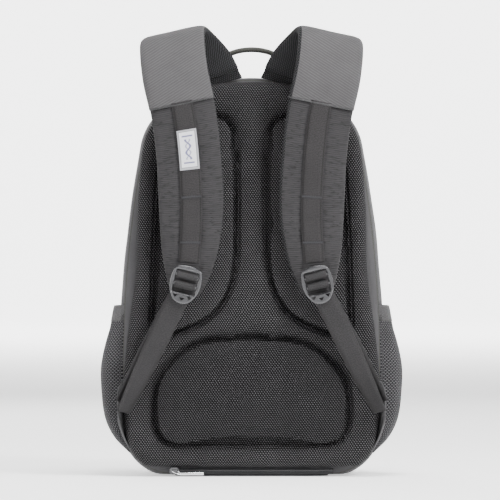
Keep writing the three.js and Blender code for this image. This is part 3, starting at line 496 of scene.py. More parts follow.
WEBBING_HALF = 12.5
NO_STITCH = -5.0
MATERIALS |= {
    "webbing": webbing_material("webbing", (0.0175, 0.0165, 0.017), WEBBING_HALF),
    "plain_webbing": webbing_material(
        "plain_webbing", (0.018, 0.0173, 0.018), WEBBING_HALF, rib=1.5, stitch_in=NO_STITCH),
    "elastic": webbing_material("elastic", (0.05, 0.049, 0.05), 40, rib=1.3, stitch_in=NO_STITCH, depth=0.2),
}
print("webbing is", 2 * WEBBING_HALF, "mm wide")

# %% [markdown]
# The hard parts need only a grain too fine to see as a pattern and a clear shine. The moulded plastic has a
# thin coat, which gives its edges the bright lines that tell it from cloth.


# %% Hard materials
def hard_material(name, colour, roughness, metallic=0.0, grain=0.02, coat=0.0):
    """A colour that wavers with a fine noise, whose height is the grain in millimetres."""

    def build(n, place, cloth):
        fine = n.add("ShaderNodeTexNoise", {"Vector": place, "Scale": 2.2, "Detail": 3.0}).outputs[0]
        tone = place_group(n, WEAR, Vector=place, Amount=0.35)["Tone"]
        return times_tone(n, n.mix(fine, shade(colour, 0.85), shade(colour, 1.15)), tone), fine, grain

    material = cloth_material(name, build, roughness=roughness, specular=0.5)
    shader = material.node_tree.nodes["Principled BSDF"]
    shader.inputs["Metallic"].default_value = metallic
    shader.inputs["Coat Weight"].default_value = coat
    shader.inputs["Coat Roughness"].default_value = 0.12
    return material


MATERIALS |= {
    "plastic": hard_material("plastic", (0.045, 0.045, 0.048), 0.22, metallic=0.6, coat=0.5),
    "metal": hard_material("metal", (0.62, 0.62, 0.63), 0.25, metallic=1.0, grain=0.01),
    "zip_teeth": hard_material("zip_teeth", (0.012, 0.012, 0.013), 0.4),
    "board": hard_material("board", (0.02, 0.02, 0.022), 0.6, grain=0.3),
}
print("materials:", sorted(MATERIALS))

# %% [markdown]
# Every piece is given its body and finish in one call, so that no piece can be left behind when the straps
# swing or the lid opens. There are two kinds: a closed skin of rings, and a patch of quads that Solidify
# makes a wall of cloth, because it keeps the inside face parallel to the outside one.


# %% Piece helpers
def signed_volume(points, faces):
    """Six times the volume that the quads close, positive when they face out."""
    a, b, c, d = (points[faces[:, k]] for k in range(4))
    one = np.einsum("ij,ij->i", a, np.cross(b, c))
    two = np.einsum("ij,ij->i", a, np.cross(c, d))
    return (one + two).sum()


def tube_piece(name, rings, uv=None, loop=False):
    """Rings of points joined into a closed skin. Open ends close with a fan to the middle of the end
    ring."""
    rings = np.asarray(rings, float)
    count, around = rings.shape[:2]
    points = rings.reshape(-1, 3)
    faces = grid_faces(count, around, around=True, along=loop)
    cloth = None if uv is None else np.asarray(uv).reshape(-1, 2)
    if not loop:
        j, after = np.arange(around), (np.arange(around) + 1) % around
        first, last, end = count * around, count * around + 1, (count - 1) * around
        points = np.vstack([points, rings[0].mean(0), rings[-1].mean(0)])
        front = np.stack([np.full(around, first), after, j, j], -1)
        back = np.stack([np.full(around, last), end + j, end + after, end + after], -1)
        faces = np.vstack([faces, front, back])
        if uv is not None:
            cloth = np.vstack([cloth, uv[0].mean(0), uv[-1].mean(0)])
    if signed_volume(points, faces) < 0:
        faces = faces[:, ::-1]
    polygons = [[v for k, v in enumerate(f) if v != f[k - 1]] for f in faces.tolist()]
    return mesh_piece(name, points, polygons, cloth)


def merge(piece, distance=0.00005):
    """Joins points that share a place, so that poles and seams close."""
    work = bmesh.new()
    work.from_mesh(piece.data)
    bmesh.ops.remove_doubles(work, verts=work.verts, dist=distance)
    work.to_mesh(piece.data)
    work.free()


def cloth_piece(name, grid, uv, thickness, outside, around=False, inner_material=0, even=True):
    """A grid of points as a wall of cloth, thickened inwards. outside gives, for the middles of the faces,
    a direction that they have to look along."""
    grid = np.asarray(grid, float)
    points = grid.reshape(-1, 3)
    faces = grid_faces(*grid.shape[:2], around=around)
    a, b, d = (points[faces[:, k]] for k in (0, 1, 3))
    facing = np.einsum("ij,ij->i", np.cross(b - a, d - a), outside(points[faces].mean(1)))
    if facing.sum() < 0:
        faces = faces[:, ::-1]
    piece = mesh_piece(name, points, faces.tolist(), np.asarray(uv).reshape(-1, 2))
    merge(piece)
    wall = piece.modifiers.new("wall", "SOLIDIFY")
    wall.thickness = thickness * MM
    wall.offset = -1
    wall.use_even_offset = even
    wall.material_offset = inner_material
    return piece


def finish_piece(piece, body, slot, materials, *nodes):
    """Sets a piece's materials, the body that it rides on and the solids that it stands for. slot is not
    used."""
    for material in materials if isinstance(materials, list) else [materials]:
        piece.data.materials.append(MATERIALS[material])
    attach(piece, body)
    if nodes:
        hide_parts(*nodes)
    print(f"{piece.name}: {len(piece.data.polygons)} faces")
    return piece


def ripple(points, size, seed):
    """Smooth bumps from -1 to 1 over a region of about size millimetres: a sum of waves that run in fixed
    random directions."""
    random = np.random.default_rng(seed)
    waves = random.normal(size=(14, 3))
    length = np.linalg.norm(waves, axis=1)[:, None]
    waves *= (2 * math.pi / size) * random.uniform(0.6, 1.4, 14)[:, None] / length
    phase = random.uniform(0, 2 * math.pi, 14)
    return np.sin(points @ waves.T + phase).sum(-1) / 7


def through(p0, p1, p2, p3, f):
    """The cubic from p1 to p2 at shares f, whose slope at each is half the step between the points on both
    sides of it."""
    m1, m2 = (p2 - p0) / 2, (p3 - p1) / 2
    leave, arrive = f**3 - 2 * f**2 + f, f**3 - f**2
    return (2 * f**3 - 3 * f**2 + 1) * p1 + leave * m1 + (3 * f**2 - 2 * f**3) * p2 + arrive * m2


def smooth_path(stations, share):
    """Values at shares 0 to 1 along stations, on a cubic between each two neighbours."""
    s = np.asarray(stations, float)
    s = np.vstack([2 * s[0] - s[1], s, 2 * s[-1] - s[-2]])
    x = np.clip(np.asarray(share, float), 0, 1) * (len(s) - 3)
    i = np.minimum(x.astype(int), len(s) - 4)
    return through(s[i], s[i + 1], s[i + 2], s[i + 3], (x - i)[:, None])


def smooth_loop(points, count):
    """count points round a closed smooth curve through a few points."""
    s = np.asarray(points, float)
    closed = np.vstack([s[-1:], s, s[:2]])
    x = np.arange(count) / count * len(s)
    i = x.astype(int)
    return through(closed[i], closed[i + 1], closed[i + 2], closed[i + 3], (x - i)[:, None])


def run_along(path):
    """The distance along a path from its start to each of its points."""
    return np.concatenate([[0], np.cumsum(np.linalg.norm(np.diff(path, axis=0), axis=1))])


def directions(path):
    """The direction of a path at each of its points, as steps one long."""
    step = np.gradient(path, axis=0)
    return step / np.linalg.norm(step, axis=1, keepdims=True)


def evenly_round(loop, count):
    """count points at equal distances round a closed loop of flat points."""
    closed = np.vstack([loop, loop[:1]])
    run = run_along(closed)
    at = np.linspace(0, run[-1], count, endpoint=False)
    return np.stack([np.interp(at, run, closed[:, 0]), np.interp(at, run, closed[:, 1])], -1)


def soft_power(v, power):
    """v to a power, with its sign kept, so that a sine squared off this way draws a rounded box."""
    return np.sign(v) * np.abs(v) ** power


# %% [markdown]
# The body's outline is the one that the solids use: a flat base, round corners, long side arcs, shoulders
# and a top arc. Each arc keeps its centre when the outline is moved in or out, so we keep a point and a
# direction for every step around it.

# %% Body outline
# Millimetres: the body's height, half width and the height where it is widest, then the radii of its arcs,
# and the depths of the back wall, the zip, the lid's front and the boot's front, with the boot's height.
HEIGHT, HALF_WIDTH, WIDEST = 468.0, 153.5, 130.0
SIDE_R, TOP_R, SHOULDER_R, CORNER_R = 1380.0, 165.0, 70.0, 60.0
BACK_Y, ZIP_Y, FRONT_Y, BOOT_Y, BOOT_Z = -78.0, 22.0, 60.0, 96.0, 60.0
BASE_Z = 2.3
EDGE = 12.0
EDGE_TURN = np.linspace(0, math.pi / 2, 9)


def outline_arcs():
    """The arcs of the right half, from the base to the top: centre, radius, first and last angle."""
    side = np.array([HALF_WIDTH - SIDE_R, WIDEST])
    top = np.array([0, HEIGHT - TOP_R])
    from_side, from_top = SIDE_R - SHOULDER_R, TOP_R - SHOULDER_R
    between = top - side
    distance = np.hypot(*between)
    along = (from_side**2 - from_top**2 + distance**2) / (2 * distance)
    unit = between / distance
    shoulder = side + unit * along + np.array([-unit[1], unit[0]]) * math.sqrt(from_side**2 - along**2)
    corner = np.array([side[0] + math.sqrt((SIDE_R - CORNER_R) ** 2 - (WIDEST - CORNER_R) ** 2), CORNER_R])
    joins = ((side, corner), (side, shoulder), (top, shoulder))
    low, high, start = (math.atan2(*(b - a)[::-1]) for a, b in joins)
    return [
        (corner, CORNER_R, -math.pi / 2, low),
        (side, SIDE_R, low, high),
        (shoulder, SHOULDER_R, high, start),
        (top, TOP_R, start, math.pi / 2),
    ]


def body_outline(step=4.0):
    """Points (x, z) and outward directions round the body, from the middle of the base to the right and
    back."""
    places, ways = [], []
    arcs = outline_arcs()
    flat_end = arcs[0][0][0]
    base = np.linspace(0, flat_end, int(flat_end / step), endpoint=False)
    places.append(np.stack([base, 0 * base], -1))
    ways.append(np.tile([0.0, -1.0], (len(base), 1)))
    for centre, radius, a, b in arcs:
        angle = np.linspace(a, b, max(4, int(radius * (b - a) / step)), endpoint=False)
        way = np.stack([np.cos(angle), np.sin(angle)], -1)
        places.append(centre + radius * way)
        ways.append(way)
    places, ways = np.vstack(places), np.vstack(ways)
    places = np.vstack([places, [[0.0, HEIGHT]], (places * [-1, 1])[:0:-1]])
    ways = np.vstack([ways, [[0.0, 1.0]], (ways * [-1, 1])[:0:-1]])
    return places, ways


OUTLINE, OUTWARD = body_outline()
OUTLINE_RUN = run_along(OUTLINE)


def half_width(z):
    """Half the body's width at heights z on its side arc."""
    return HALF_WIDTH - SIDE_R + np.sqrt(SIDE_R**2 - (np.maximum(z, CORNER_R) - WIDEST) ** 2)


def body_half(z):
    """Half the body's width at any height: its side arc, drawn in along the round corner below."""
    return half_width(z) - CORNER_R + np.sqrt(CORNER_R**2 - np.clip(CORNER_R - z, 0, CORNER_R) ** 2)


print("outline:", len(OUTLINE), "points,", round(OUTLINE_RUN[-1]), "mm round")


# %% [markdown]
# The rear shell is the woven cloth round the sides and behind the pads. A box with bevelled edges would be
# too stiff: real cloth swells between its seams and puckers along them. So the outline is carried back to
# front as one sheet, and waves are added that fade out at the seams.


# %% Rear shell
def rear_shell():
    """The outline carried from the back wall over a rounded edge to the zip: each row is the outline moved
    in by an inset at a depth. The back wall closes towards a short upright line in its middle."""
    gusset = np.linspace(BACK_Y + EDGE, ZIP_Y - 0.3, 30)[1:]
    wall = EDGE + 22 * np.linspace(1, 0, 6)[:-1]
    inset = np.concatenate([wall, EDGE - EDGE * np.sin(EDGE_TURN), 0 * gusset])
    depth = np.concatenate([np.full(5, BACK_Y), BACK_Y + EDGE - EDGE * np.cos(EDGE_TURN), gusset])
    share = np.clip((depth - BACK_Y - EDGE) / (ZIP_Y - BACK_Y - EDGE), 0, 1)
    middle_only = np.sin(math.pi * share)[:, None]
    not_on_top = 1 - 0.95 * np.clip(OUTWARD[:, 1], 0, 1) ** 4
    swell = 2.2 * middle_only**0.8 * not_on_top
    xz = OUTLINE + OUTWARD * (swell - inset[:, None])[..., None]
    grid = together(xz[..., 0], depth[:, None], xz[..., 1])
    puckers = ripple(grid * [0.4, 1, 0.5], 60, 3) * 1.3 + ripple(grid * [0.3, 1.6, 0.35], 30, 4) * 0.5
    puckers *= middle_only**0.7 * np.abs(OUTWARD[:, 0])
    grid[..., 0] += OUTWARD[:, 0] * puckers
    grid[..., 2] += OUTWARD[:, 1] * puckers * 0.5
    middle = together(0.0, BACK_Y, np.clip(OUTLINE[:, 1], 150, 330))
    fill = middle + (grid[0] - middle) * np.linspace(0, 1, 12)[:-1, None, None]
    grid = np.vstack([fill, grid])
    grid[..., 2] = np.maximum(grid[..., 2], BASE_Z)
    across = np.concatenate([np.linspace(-110, -35, 11), depth - inset])
    uv = together(OUTLINE_RUN, across[:, None])
    return cloth_piece("rear_shell", grid, uv, 2.6, lambda p: p - [0, 0, 230], True, 1)


finish_piece(rear_shell(), "bag", "polyester", ["polyester", "lining"], "bag_shell")

# %% [markdown]
# The boot is the stiff tub at the foot that carries on under the lid. It could be part of the shell, but
# its cloth runs another way and has its own front edge, so it is a sheet of its own from the same outline.


# %% Boot
def boot():
    """The lower part of the outline carried forward from the zip, over a rounded edge, and up its front
    wall."""
    below, left = OUTLINE[:, 1] < BOOT_Z - 0.4, OUTLINE[:, 0] < 0
    order = np.concatenate([np.where(below & left)[0], np.where(below & ~left)[0]])
    rim = half_width(BOOT_Z)
    line = np.vstack([[-rim, BOOT_Z], OUTLINE[order], [rim, BOOT_Z]])
    way = np.vstack([[-1, 0], OUTWARD[order], [1, 0]])
    floor_depth = np.linspace(ZIP_Y - 0.5, BOOT_Y - EDGE, 16)[:-1]
    depth = np.concatenate([floor_depth, BOOT_Y - EDGE + EDGE * np.sin(EDGE_TURN)])
    inset = np.concatenate([0 * floor_depth, EDGE - EDGE * np.cos(EDGE_TURN)])
    xz = line - way * inset[:, None, None]
    grid = together(xz[..., 0], depth[:, None], np.minimum(xz[..., 1], BOOT_Z))
    climb = np.linspace(0, 1, 9)[1:, None]
    front = np.repeat(grid[-1:], 8, 0)
    front[..., 2] += (BOOT_Z - front[..., 2]) * climb
    grid = np.vstack([grid, front])
    grid[..., 2] = np.maximum(grid[..., 2], BASE_Z)
    uv = together(run_along(line), np.concatenate([depth, BOOT_Y + 45 * climb[:, 0]])[:, None])
    return cloth_piece("boot", grid, uv, 2.6, lambda p: p - [0, 20, 60], inner_material=1)


finish_piece(boot(), "bag", "polyester", ["polyester", "lining"])

# %% [markdown]
# Beside the front pocket the boot would be open on top, so a small flat patch closes each corner. The two
# are one function: a shape is made for the right side, and its points are turned over for the left.


# %% Boot corners
def mirrored(points, side):
    """Points made for the right side (+X), for a side of 1, or turned over to the left, for -1."""
    return points * [side, 1, 1]


def boot_corner(name, side):
    """A patch from the front pocket's side to the boot's wall, following the boot's rounded front corner,
    and a little lower in its middle."""
    y = np.linspace(24, BOOT_Y - 1.5, 24)[:, None]
    corner = np.clip(y - BOOT_Y + EDGE, 0, EDGE)
    wall = half_width(BOOT_Z) - 1.2 - (EDGE - np.sqrt(EDGE**2 - corner**2))
    share = np.linspace(0, 1, 14)
    pocket_side = 126.0
    x = pocket_side + (wall - pocket_side) * share
    grid = together(x, y, 58.6 - 2.2 * np.sin(math.pi * share))
    points = mirrored(grid, side)
    return cloth_piece(f"{name}_boot_corner", points, grid[..., :2], 1.4, lambda p: p * 0 + [0, 0, 1])


for name, side in SIDES.items():
    finish_piece(boot_corner(name, side), "bag", "polyester", "polyester")

# %% [markdown]
# A piped seam shows as a thin cord between the back and the gusset. A bevelled curve object would do, but
# its faces would have no coordinates for the cloth, so the same outline carries a small circle.


# %% Piping
def piping(name, y, radius, offset):
    """A cord of cloth sewn into a seam: a small circle carried round the body's outline."""
    centre = OUTLINE + OUTWARD * offset
    angle = circle(8)
    xz = centre[:, None] + OUTWARD[:, None] * (radius * np.cos(angle))[:, None]
    rings = together(xz[..., 0], y + radius * np.sin(angle), np.maximum(xz[..., 1], 0.6))
    return tube_piece(name, rings, together(angle * radius, OUTLINE_RUN[:, None]), loop=True)


finish_piece(piping("rear_piping", BACK_Y + 5.5, 2.3, -4.4), "bag", "polyester", "handle")

# %% [markdown]
# The padded back is a frame of air mesh with three pads set into it. Sculpting it would hide where its
# shape comes from, so the frame is one height over the panel's outline: its edge rolls over, it sinks where
# the pads sit, and a narrow valley runs round each pad where the mesh is sewn down.

# %% Panel outlines
PANEL_HALF = np.array(
    [(95, 11.5), (131, 17.5), (148, 50), (151, 105), (144.5, 172), (135.5, 240), (133.5, 325), (124, 400),
     (88, 444), (40, 461)]
)
LUMBAR_HALF = np.array([(60, 35), (100, 39), (116, 62), (113, 110), (90, 142), (48, 163)])
SIDE_PAD = np.array(
    [(40, 425), (22, 412), (16, 380), (15, 300), (18, 240), (34, 200), (62, 177), (100, 164), (117, 172),
     (117, 215), (112, 330), (103, 396), (78, 423)]
)


def both_sides(half):
    """A half outline, from its foot up, and its mirror image back down."""
    return np.vstack([half, (half * [-1, 1])[::-1]])


PANEL = smooth_loop(both_sides(PANEL_HALF), 520)
PAD_LOOPS = {
    "lumbar_pad": smooth_loop(both_sides(LUMBAR_HALF), 260),
    "right_back_pad": smooth_loop(SIDE_PAD, 300),
    "left_back_pad": smooth_loop((SIDE_PAD * [-1, 1])[::-1], 300),
}


def inside_distance(places, loop):
    """How far each place lies inside a closed loop of points, negative outside it."""
    near = np.full(len(places), np.inf)
    crossings = np.zeros(len(places), int)
    for a, b in zip(loop, np.roll(loop, -1, 0)):
        step = b - a
        share = np.clip(((places - a) @ step) / (step @ step), 0, 1)
        near = np.minimum(near, np.hypot(*(places - a - share[:, None] * step).T))
        spans = (a[1] > places[:, 1]) != (b[1] > places[:, 1])
        if step[1]:
            crossings += spans & (places[:, 0] < a[0] + step[0] * (places[:, 1] - a[1]) / step[1])
    return np.where(crossings % 2, near, -near)


print("panel outline:", len(PANEL), "points, pads:", sorted(PAD_LOOPS))

# %% Back panel mesh
PANEL_BACK = -80.6
PANEL_FACE = 15.0
PAD_FACE = 21.0
PANEL_CENTRE = np.array([0.0, 235.0])


def frame_height(places):
    """Height of the mesh frame over the sheet behind it: a rolled edge, less a bowl under each pad and a
    valley round it."""
    edge = np.clip(inside_distance(places, PANEL[::2]), 0, None)
    roll = np.sqrt(np.clip(1 - (1 - np.clip(edge / 13, 0, 1)) ** 2, 0, 1))
    height = 1.5 + (PANEL_FACE - 1.5) * roll
    for loop in PAD_LOOPS.values():
        inside = inside_distance(places, loop[::2])
        height -= 4.6 * np.exp(-((inside + 0.2) / 1.6) ** 2) + 3.2 * np.exp(-((inside / 9.0) ** 2))
        height = np.where(inside > 1.6, np.minimum(height, 3.0), height)
    return np.maximum(height, 1.2)


def small_ring(ring):
    """A ring drawn in almost to the panel's centre, to close the flat back."""
    small = ring.copy()
    small[..., [0, 2]] = PANEL_CENTRE + (ring[..., [0, 2]] - PANEL_CENTRE) * 0.01
    return small


def panel_frame():
    """Rings from the panel's outline in to its middle, lifted by the frame's height, with a flat back.
    Where the edge rolls over, the cloth's coordinates run on by the length of the roll, so the knots aren't
    stretched."""
    steps = np.linspace(0.004, 0.0125, 110)
    shares = np.concatenate([[1.0], 1 - np.cumsum(steps / steps.sum())])
    xz = PANEL_CENTRE + (PANEL - PANEL_CENTRE) * np.clip(shares, 0.003, 1)[:, None, None]
    height = frame_height(xz.reshape(-1, 2)).reshape(xz.shape[:2])
    front = together(xz[..., 0], PANEL_BACK - height, xz[..., 1])
    front[..., 1] += ripple(front * [1, 0, 1], 45, 7) * 0.5 * np.clip(height / 10, 0, 1)
    back = front[:1].copy()
    back[..., 1] = PANEL_BACK
    rise = np.diff(front, axis=0)
    extra = np.linalg.norm(rise, axis=2) - np.hypot(rise[..., 0], rise[..., 2])
    near_edge = inside_distance(xz.reshape(-1, 2), PANEL[::4]).reshape(xz.shape[:2])[1:] < 15
    roll = np.vstack([np.cumsum((extra * near_edge)[::-1], axis=0)[::-1], np.zeros((1, len(PANEL)))])
    way = (xz - PANEL_CENTRE) / (np.linalg.norm(xz - PANEL_CENTRE, axis=2, keepdims=True) + 1e-6)
    uv = xz + way * roll[..., None]
    rings = np.vstack([small_ring(back), back, front])
    return tube_piece("back_panel_mesh", rings, np.vstack([uv[:1], uv[:1] + way[:1] * 2, uv]))


panel = finish_piece(panel_frame(), "bag", "air_mesh", "frame_mesh", "back_panel")

# %% [markdown]
# A pad is foam inside a cover that is sewn down all round. We start from a slab a little smaller than the
# pad, turn it into an even skin with a voxel remesh, and let Cloth blow it up with a little pressure, so
# that it swells most in its middle. The movement is capped, and the sewn rim is drawn in afterwards.


# %% Stuffed pads
def pad_slab(name, loop, back, face, inset):
    """A slab under a pad's outline: the outline moved in, a rounded rim, and a flat back and face."""
    ways = np.roll(loop, -1, 0) - np.roll(loop, 1, 0)
    ways = np.stack([ways[:, 1], -ways[:, 0]], -1) / np.hypot(*ways.T)[:, None]
    if inside_distance(loop[:1] + ways[:1] * 2, loop)[0] > 0:
        ways = -ways
    rim, turn = 7.0, np.linspace(0, math.pi / 2, 7)[:, None]
    rows = loop - ways * (inset + rim - rim * np.sin(turn))[..., None]
    inner = loop.mean(0) + (rows[0] - loop.mean(0)) * np.linspace(0.05, 1, 12)[:-1, None, None]
    depth = np.vstack([np.full((11, 1), face), face + rim - rim * np.cos(turn)])
    front = np.vstack([inner, rows])
    grid = together(front[..., 0], depth, front[..., 1])
    foot = grid[-1:].copy()
    foot[..., 1] = back
    return tube_piece(name, np.vstack([grid, foot]))


def apply_modifiers(piece):
    """Replaces a piece's mesh by what its modifiers make of it."""
    seen = bpy.context.evaluated_depsgraph_get()
    mesh = bpy.data.meshes.new_from_object(piece.evaluated_get(seen))
    piece.modifiers.clear()
    old, piece.data = piece.data, mesh
    bpy.data.meshes.remove(old)


def points_of(piece):
    """A piece's points in millimetres."""
    co = np.empty(len(piece.data.vertices) * 3, np.float32)
    piece.data.vertices.foreach_get("co", co)
    return co.reshape(-1, 3).astype(float) / MM


def set_points(piece, points):
    """Moves a piece's points to places in millimetres."""
    piece.data.vertices.foreach_set("co", (points * MM).astype(np.float32).ravel())
    piece.data.update()


def blow_up(piece, voxel=5.0, pressure=4.0, cap=9.0, steps=16):
    """Remeshes a slab evenly and lets Cloth swell it, with each point's movement capped."""
    remesh = piece.modifiers.new("even", "REMESH")
    remesh.mode = "VOXEL"
    remesh.voxel_size = voxel * MM
    apply_modifiers(piece)
    before = points_of(piece)
    cloth = piece.modifiers.new("cloth", "CLOTH")
    cloth.settings.use_pressure = True
    cloth.settings.uniform_pressure_force = pressure
    cloth.settings.quality = 5
    cloth.settings.effector_weights.gravity = 0
    cloth.settings.tension_stiffness = cloth.settings.compression_stiffness = 20
    cloth.collision_settings.use_collision = False
    cloth.point_cache.frame_start, cloth.point_cache.frame_end = 1, steps
    for step in range(1, steps + 1):
        bpy.context.scene.frame_set(step)
    apply_modifiers(piece)
    bpy.context.scene.frame_set(1)
    moved = points_of(piece) - before
    length = np.linalg.norm(moved, axis=1, keepdims=True)
    set_points(piece, before + moved * np.minimum(1, cap / np.maximum(length, 1e-6)))
    finer = piece.modifiers.new("finer", "SUBSURF")
    finer.levels = finer.render_levels = 1
    apply_modifiers(piece)
    piece.data.shade_smooth()
    return piece


def stuffed_pad(name, loop):
    """Blows up a pad, keeps it between the sheet and the pad's face, and draws its rim in to the sewn line.
    The face is a dome that falls away steeply at the stitches and gently further in."""
    piece = blow_up(pad_slab(name, loop, PANEL_BACK - 1.5, PANEL_BACK - PAD_FACE + 6, 3.5))
    points = points_of(piece)
    inside = inside_distance(points[:, [0, 2]], loop[::2])
    over = np.clip(1.0 - inside, 0, None)
    centre = loop.mean(0)
    way = centre - points[:, [0, 2]]
    way /= np.linalg.norm(way, axis=1, keepdims=True) + 1e-9
    points[:, 0] += way[:, 0] * over
    points[:, 2] += way[:, 1] * over
    inside = np.clip(inside, 0, None)
    dome = PAD_FACE + 0.8 - 5.6 * np.exp(-inside / 1.7) - 4.6 * np.exp(-inside / 10.0)
    lowest = PANEL_BACK - dome - ripple(points * [1, 0, 1], 55, len(name)) * 0.6
    points[:, 1] = np.clip(np.maximum(points[:, 1], lowest), None, PANEL_BACK - 1.3)
    front = points[:, 1] < PANEL_BACK - 4
    points[front, 1] = np.minimum(points[front, 1], (lowest + 1.5)[front])
    set_points(piece, points)
    return piece


for name, loop in PAD_LOOPS.items():
    # The lumbar pad takes the mesh with painted shade, darker than the mesh above it.
    cover = "lumbar_mesh" if name == "lumbar_pad" else "air_mesh"
    pad = finish_piece(stuffed_pad(f"{name}_mesh", loop), "bag", "air_mesh", cover, name)

# %% [markdown]
# A shoulder strap is a long padded band on a curve in space. A flat band bent by a curve modifier would
# twist where it turns over the top, so the centre, lean, width and thickness come from stations, the same
# as its solid's, and a section is carried along them. The section is a flat oval that is drawn down along
# the two edges of the webbing, where the stitches pull it in.

# %% Strap stations
STRAP_STATIONS = np.array(
    [
        (48.7, -81, 467.4, 16.5, 70, 11), (62, -88, 490, 14, 72, 11), (82, -101, 510, 12.5, 75, 11),
        (91, -119, 514, 12.4, 76, 11), (92, -134, 499, 12.4, 76, 11), (88, -139, 466, 12.4, 76, 11),
        (79, -135, 425, 11, 76, 11), (73, -129, 375, 7, 76, 11), (70, -122, 315, 3, 76, 11),
        (72, -117, 265, -3, 66, 11), (76, -114.5, 228, -9, 46, 10), (80, -113.5, 207, -14, 24, 8),
    ],
    float,
)


def strap_frames(share):
    """Centre, direction to the inner edge, outward normal, width and thickness at shares of the right
    strap. The normal is square to both the path and the inner edge."""
    share = np.asarray(share, float)
    at = smooth_path(STRAP_STATIONS, share)
    step = smooth_path(STRAP_STATIONS, share + 0.004) - smooth_path(STRAP_STATIONS, share - 0.004)
    along = step[:, :3] / np.linalg.norm(step[:, :3], axis=1, keepdims=True)
    lean = np.radians(at[:, 3])
    inward = np.stack([-np.cos(lean), 0 * lean, np.sin(lean)], -1)
    normal = np.cross(inward, along)
    normal /= np.linalg.norm(normal, axis=1, keepdims=True)
    return at[:, :3], inward, normal, at[:, 4], at[:, 5]


def share_at(height):
    """The share down the front of the strap where its centre is at a height."""
    shares = np.linspace(0.4, 1, 2000)
    return shares[np.argmin(np.abs(smooth_path(STRAP_STATIONS, shares)[:, 2] - height))]


STRAP_LENGTH = 520.0
YOKE_SHARE = share_at(437)
WEBBING_END = share_at(251.5)
print("cover ends at share", round(YOKE_SHARE, 3), "and webbing at", round(WEBBING_END, 3))


# %% Strap bodies
def band_rings(side, shares, top, bottom, count=30, grow=0.0):
    """Rings round a band on the strap. top and bottom give the heights of its two faces over the strap's
    centre from the place across it, which runs from -1 to 1, and top from the share along it too."""
    centre, inward, normal, width, thickness = strap_frames(shares)
    a = np.sin(np.linspace(-math.pi / 2, math.pi / 2, count))
    half = (width / 2 + grow)[:, None]
    under = a[::-1][1:-1]
    over = np.concatenate([a, under])
    up = top(shares[:, None], a[None], half, thickness[:, None])
    down = bottom(under[None], thickness[:, None])
    rise = np.hstack([up, down])
    rings = centre[:, None] + inward[:, None] * (over * half)[..., None] + normal[:, None] * rise[..., None]
    return mirrored(rings, side), together(over * half, run_along(centre)[:, None])


def oval(a, power=3.4):
    """A flat oval from edge to edge: 1 in the middle, falling to 0 at the edges."""
    return np.clip(1 - np.abs(a) ** power, 0, 1) ** 0.42


def strap_wave(share, a, half, size, seed):
    """Slow waves over a strap's face, from places in millimetres along and across it."""
    return ripple(together(a * half, share * STRAP_LENGTH, 0.0), size, seed)


def strap_top(seed):
    """The face of a strap: an oval with waves, less a groove at each edge of the webbing and one at the
    seam of the cover."""

    def top(share, a, half, thickness):
        stitched = np.exp(-(((np.abs(a) * half) - WEBBING_HALF - 0.7) / 1.3) ** 2)
        below = np.clip((share - YOKE_SHARE) * 30, 0, 1)
        wave = strap_wave(share, a, half, 38, seed)
        pull = np.exp(-(((share - YOKE_SHARE) * STRAP_LENGTH) / 5.0) ** 2)
        return oval(a) * (thickness / 2 + 0.9 + 0.35 * wave - 2.4 * stitched * below - 2.0 * pull)

    return top


def strap_bottom(a, thickness):
    """The lining: a plain oval."""
    return -oval(a) * (thickness / 2 + 0.3)


def line_underside(piece, around, side):
    """The lower face of a band, and a few faces up its inner edge, take the second material."""
    columns = np.arange(len(piece.data.polygons)) % around
    first = 29 - (4 if side > 0 else 2)
    piece.data.polygons.foreach_set("material_index", (columns >= first).astype(np.int32))


def strap_body(name, side):
    """The foam and its cloth from the root to the buckle, drawn in to a rounded point at its end."""
    shares = np.concatenate([np.linspace(0.0, 0.985, 230), [0.992, 0.997, 1.0]])
    rings, uv = band_rings(side, shares, strap_top(11 if side < 0 else 12), strap_bottom)
    ends = np.clip((1 - shares) / 0.04, 0, 1) ** 0.5
    middle = rings.mean(1, keepdims=True)
    rings = middle + (rings - middle) * np.maximum(ends, 0.05)[:, None, None]
    piece = tube_piece(f"{name}_strap_body", rings, uv)
    line_underside(piece, rings.shape[1], side)
    return piece


for name, side in SIDES.items():
    strap = strap_body(name, side)
    nodes = (f"{name}_strap_pad", f"{name}_strap_lining")
    finish_piece(strap, f"{name}_strap", "foam", ["rib_cloth", "strap_mesh"], *nodes)

# %% [markdown]
# Over the shoulder the strap wears a smooth twill cover, like a sleeve pulled over it. It could be a second
# material on the strap, but then its hem would have no thickness, so it is a skin a little larger than the
# strap.

# %% Yoke covers
def yoke_cover(name, side):
    """The strap's section grown by 0.8 mm, squarer at its edges, and drawn down by a hem just above its
    end."""
    shares = np.linspace(0.012, YOKE_SHARE, 120)

    def top(share, a, half, thickness):
        wave = strap_wave(share, a, half, 60, 21 if side < 0 else 22)
        hem = np.exp(-(((share - YOKE_SHARE) * STRAP_LENGTH + 3.5) / 1.2) ** 2)
        return oval(a, 8.0) * (thickness / 2 + 1.5 + 0.5 * wave - 0.9 * hem)

    def bottom(a, thickness):
        return -oval(a, 5.0) * (thickness / 2 + 0.8)

    rings, uv = band_rings(side, shares, top, bottom, grow=0.8)
    piece = tube_piece(f"{name}_yoke_cover", rings, uv)
    line_underside(piece, rings.shape[1], side)
    return piece


for name, side in SIDES.items():
    cover = yoke_cover(name, side)
    finish_piece(cover, f"{name}_strap", "twill", ["twill", "strap_mesh"], f"{name}_strap_yoke")

# %% [markdown]
# Where the cover ends, a dark line of stitches crosses the strap. A bump would vanish at the edges, which
# are seen from the side, so a fine cord follows the cover's face from edge to edge.


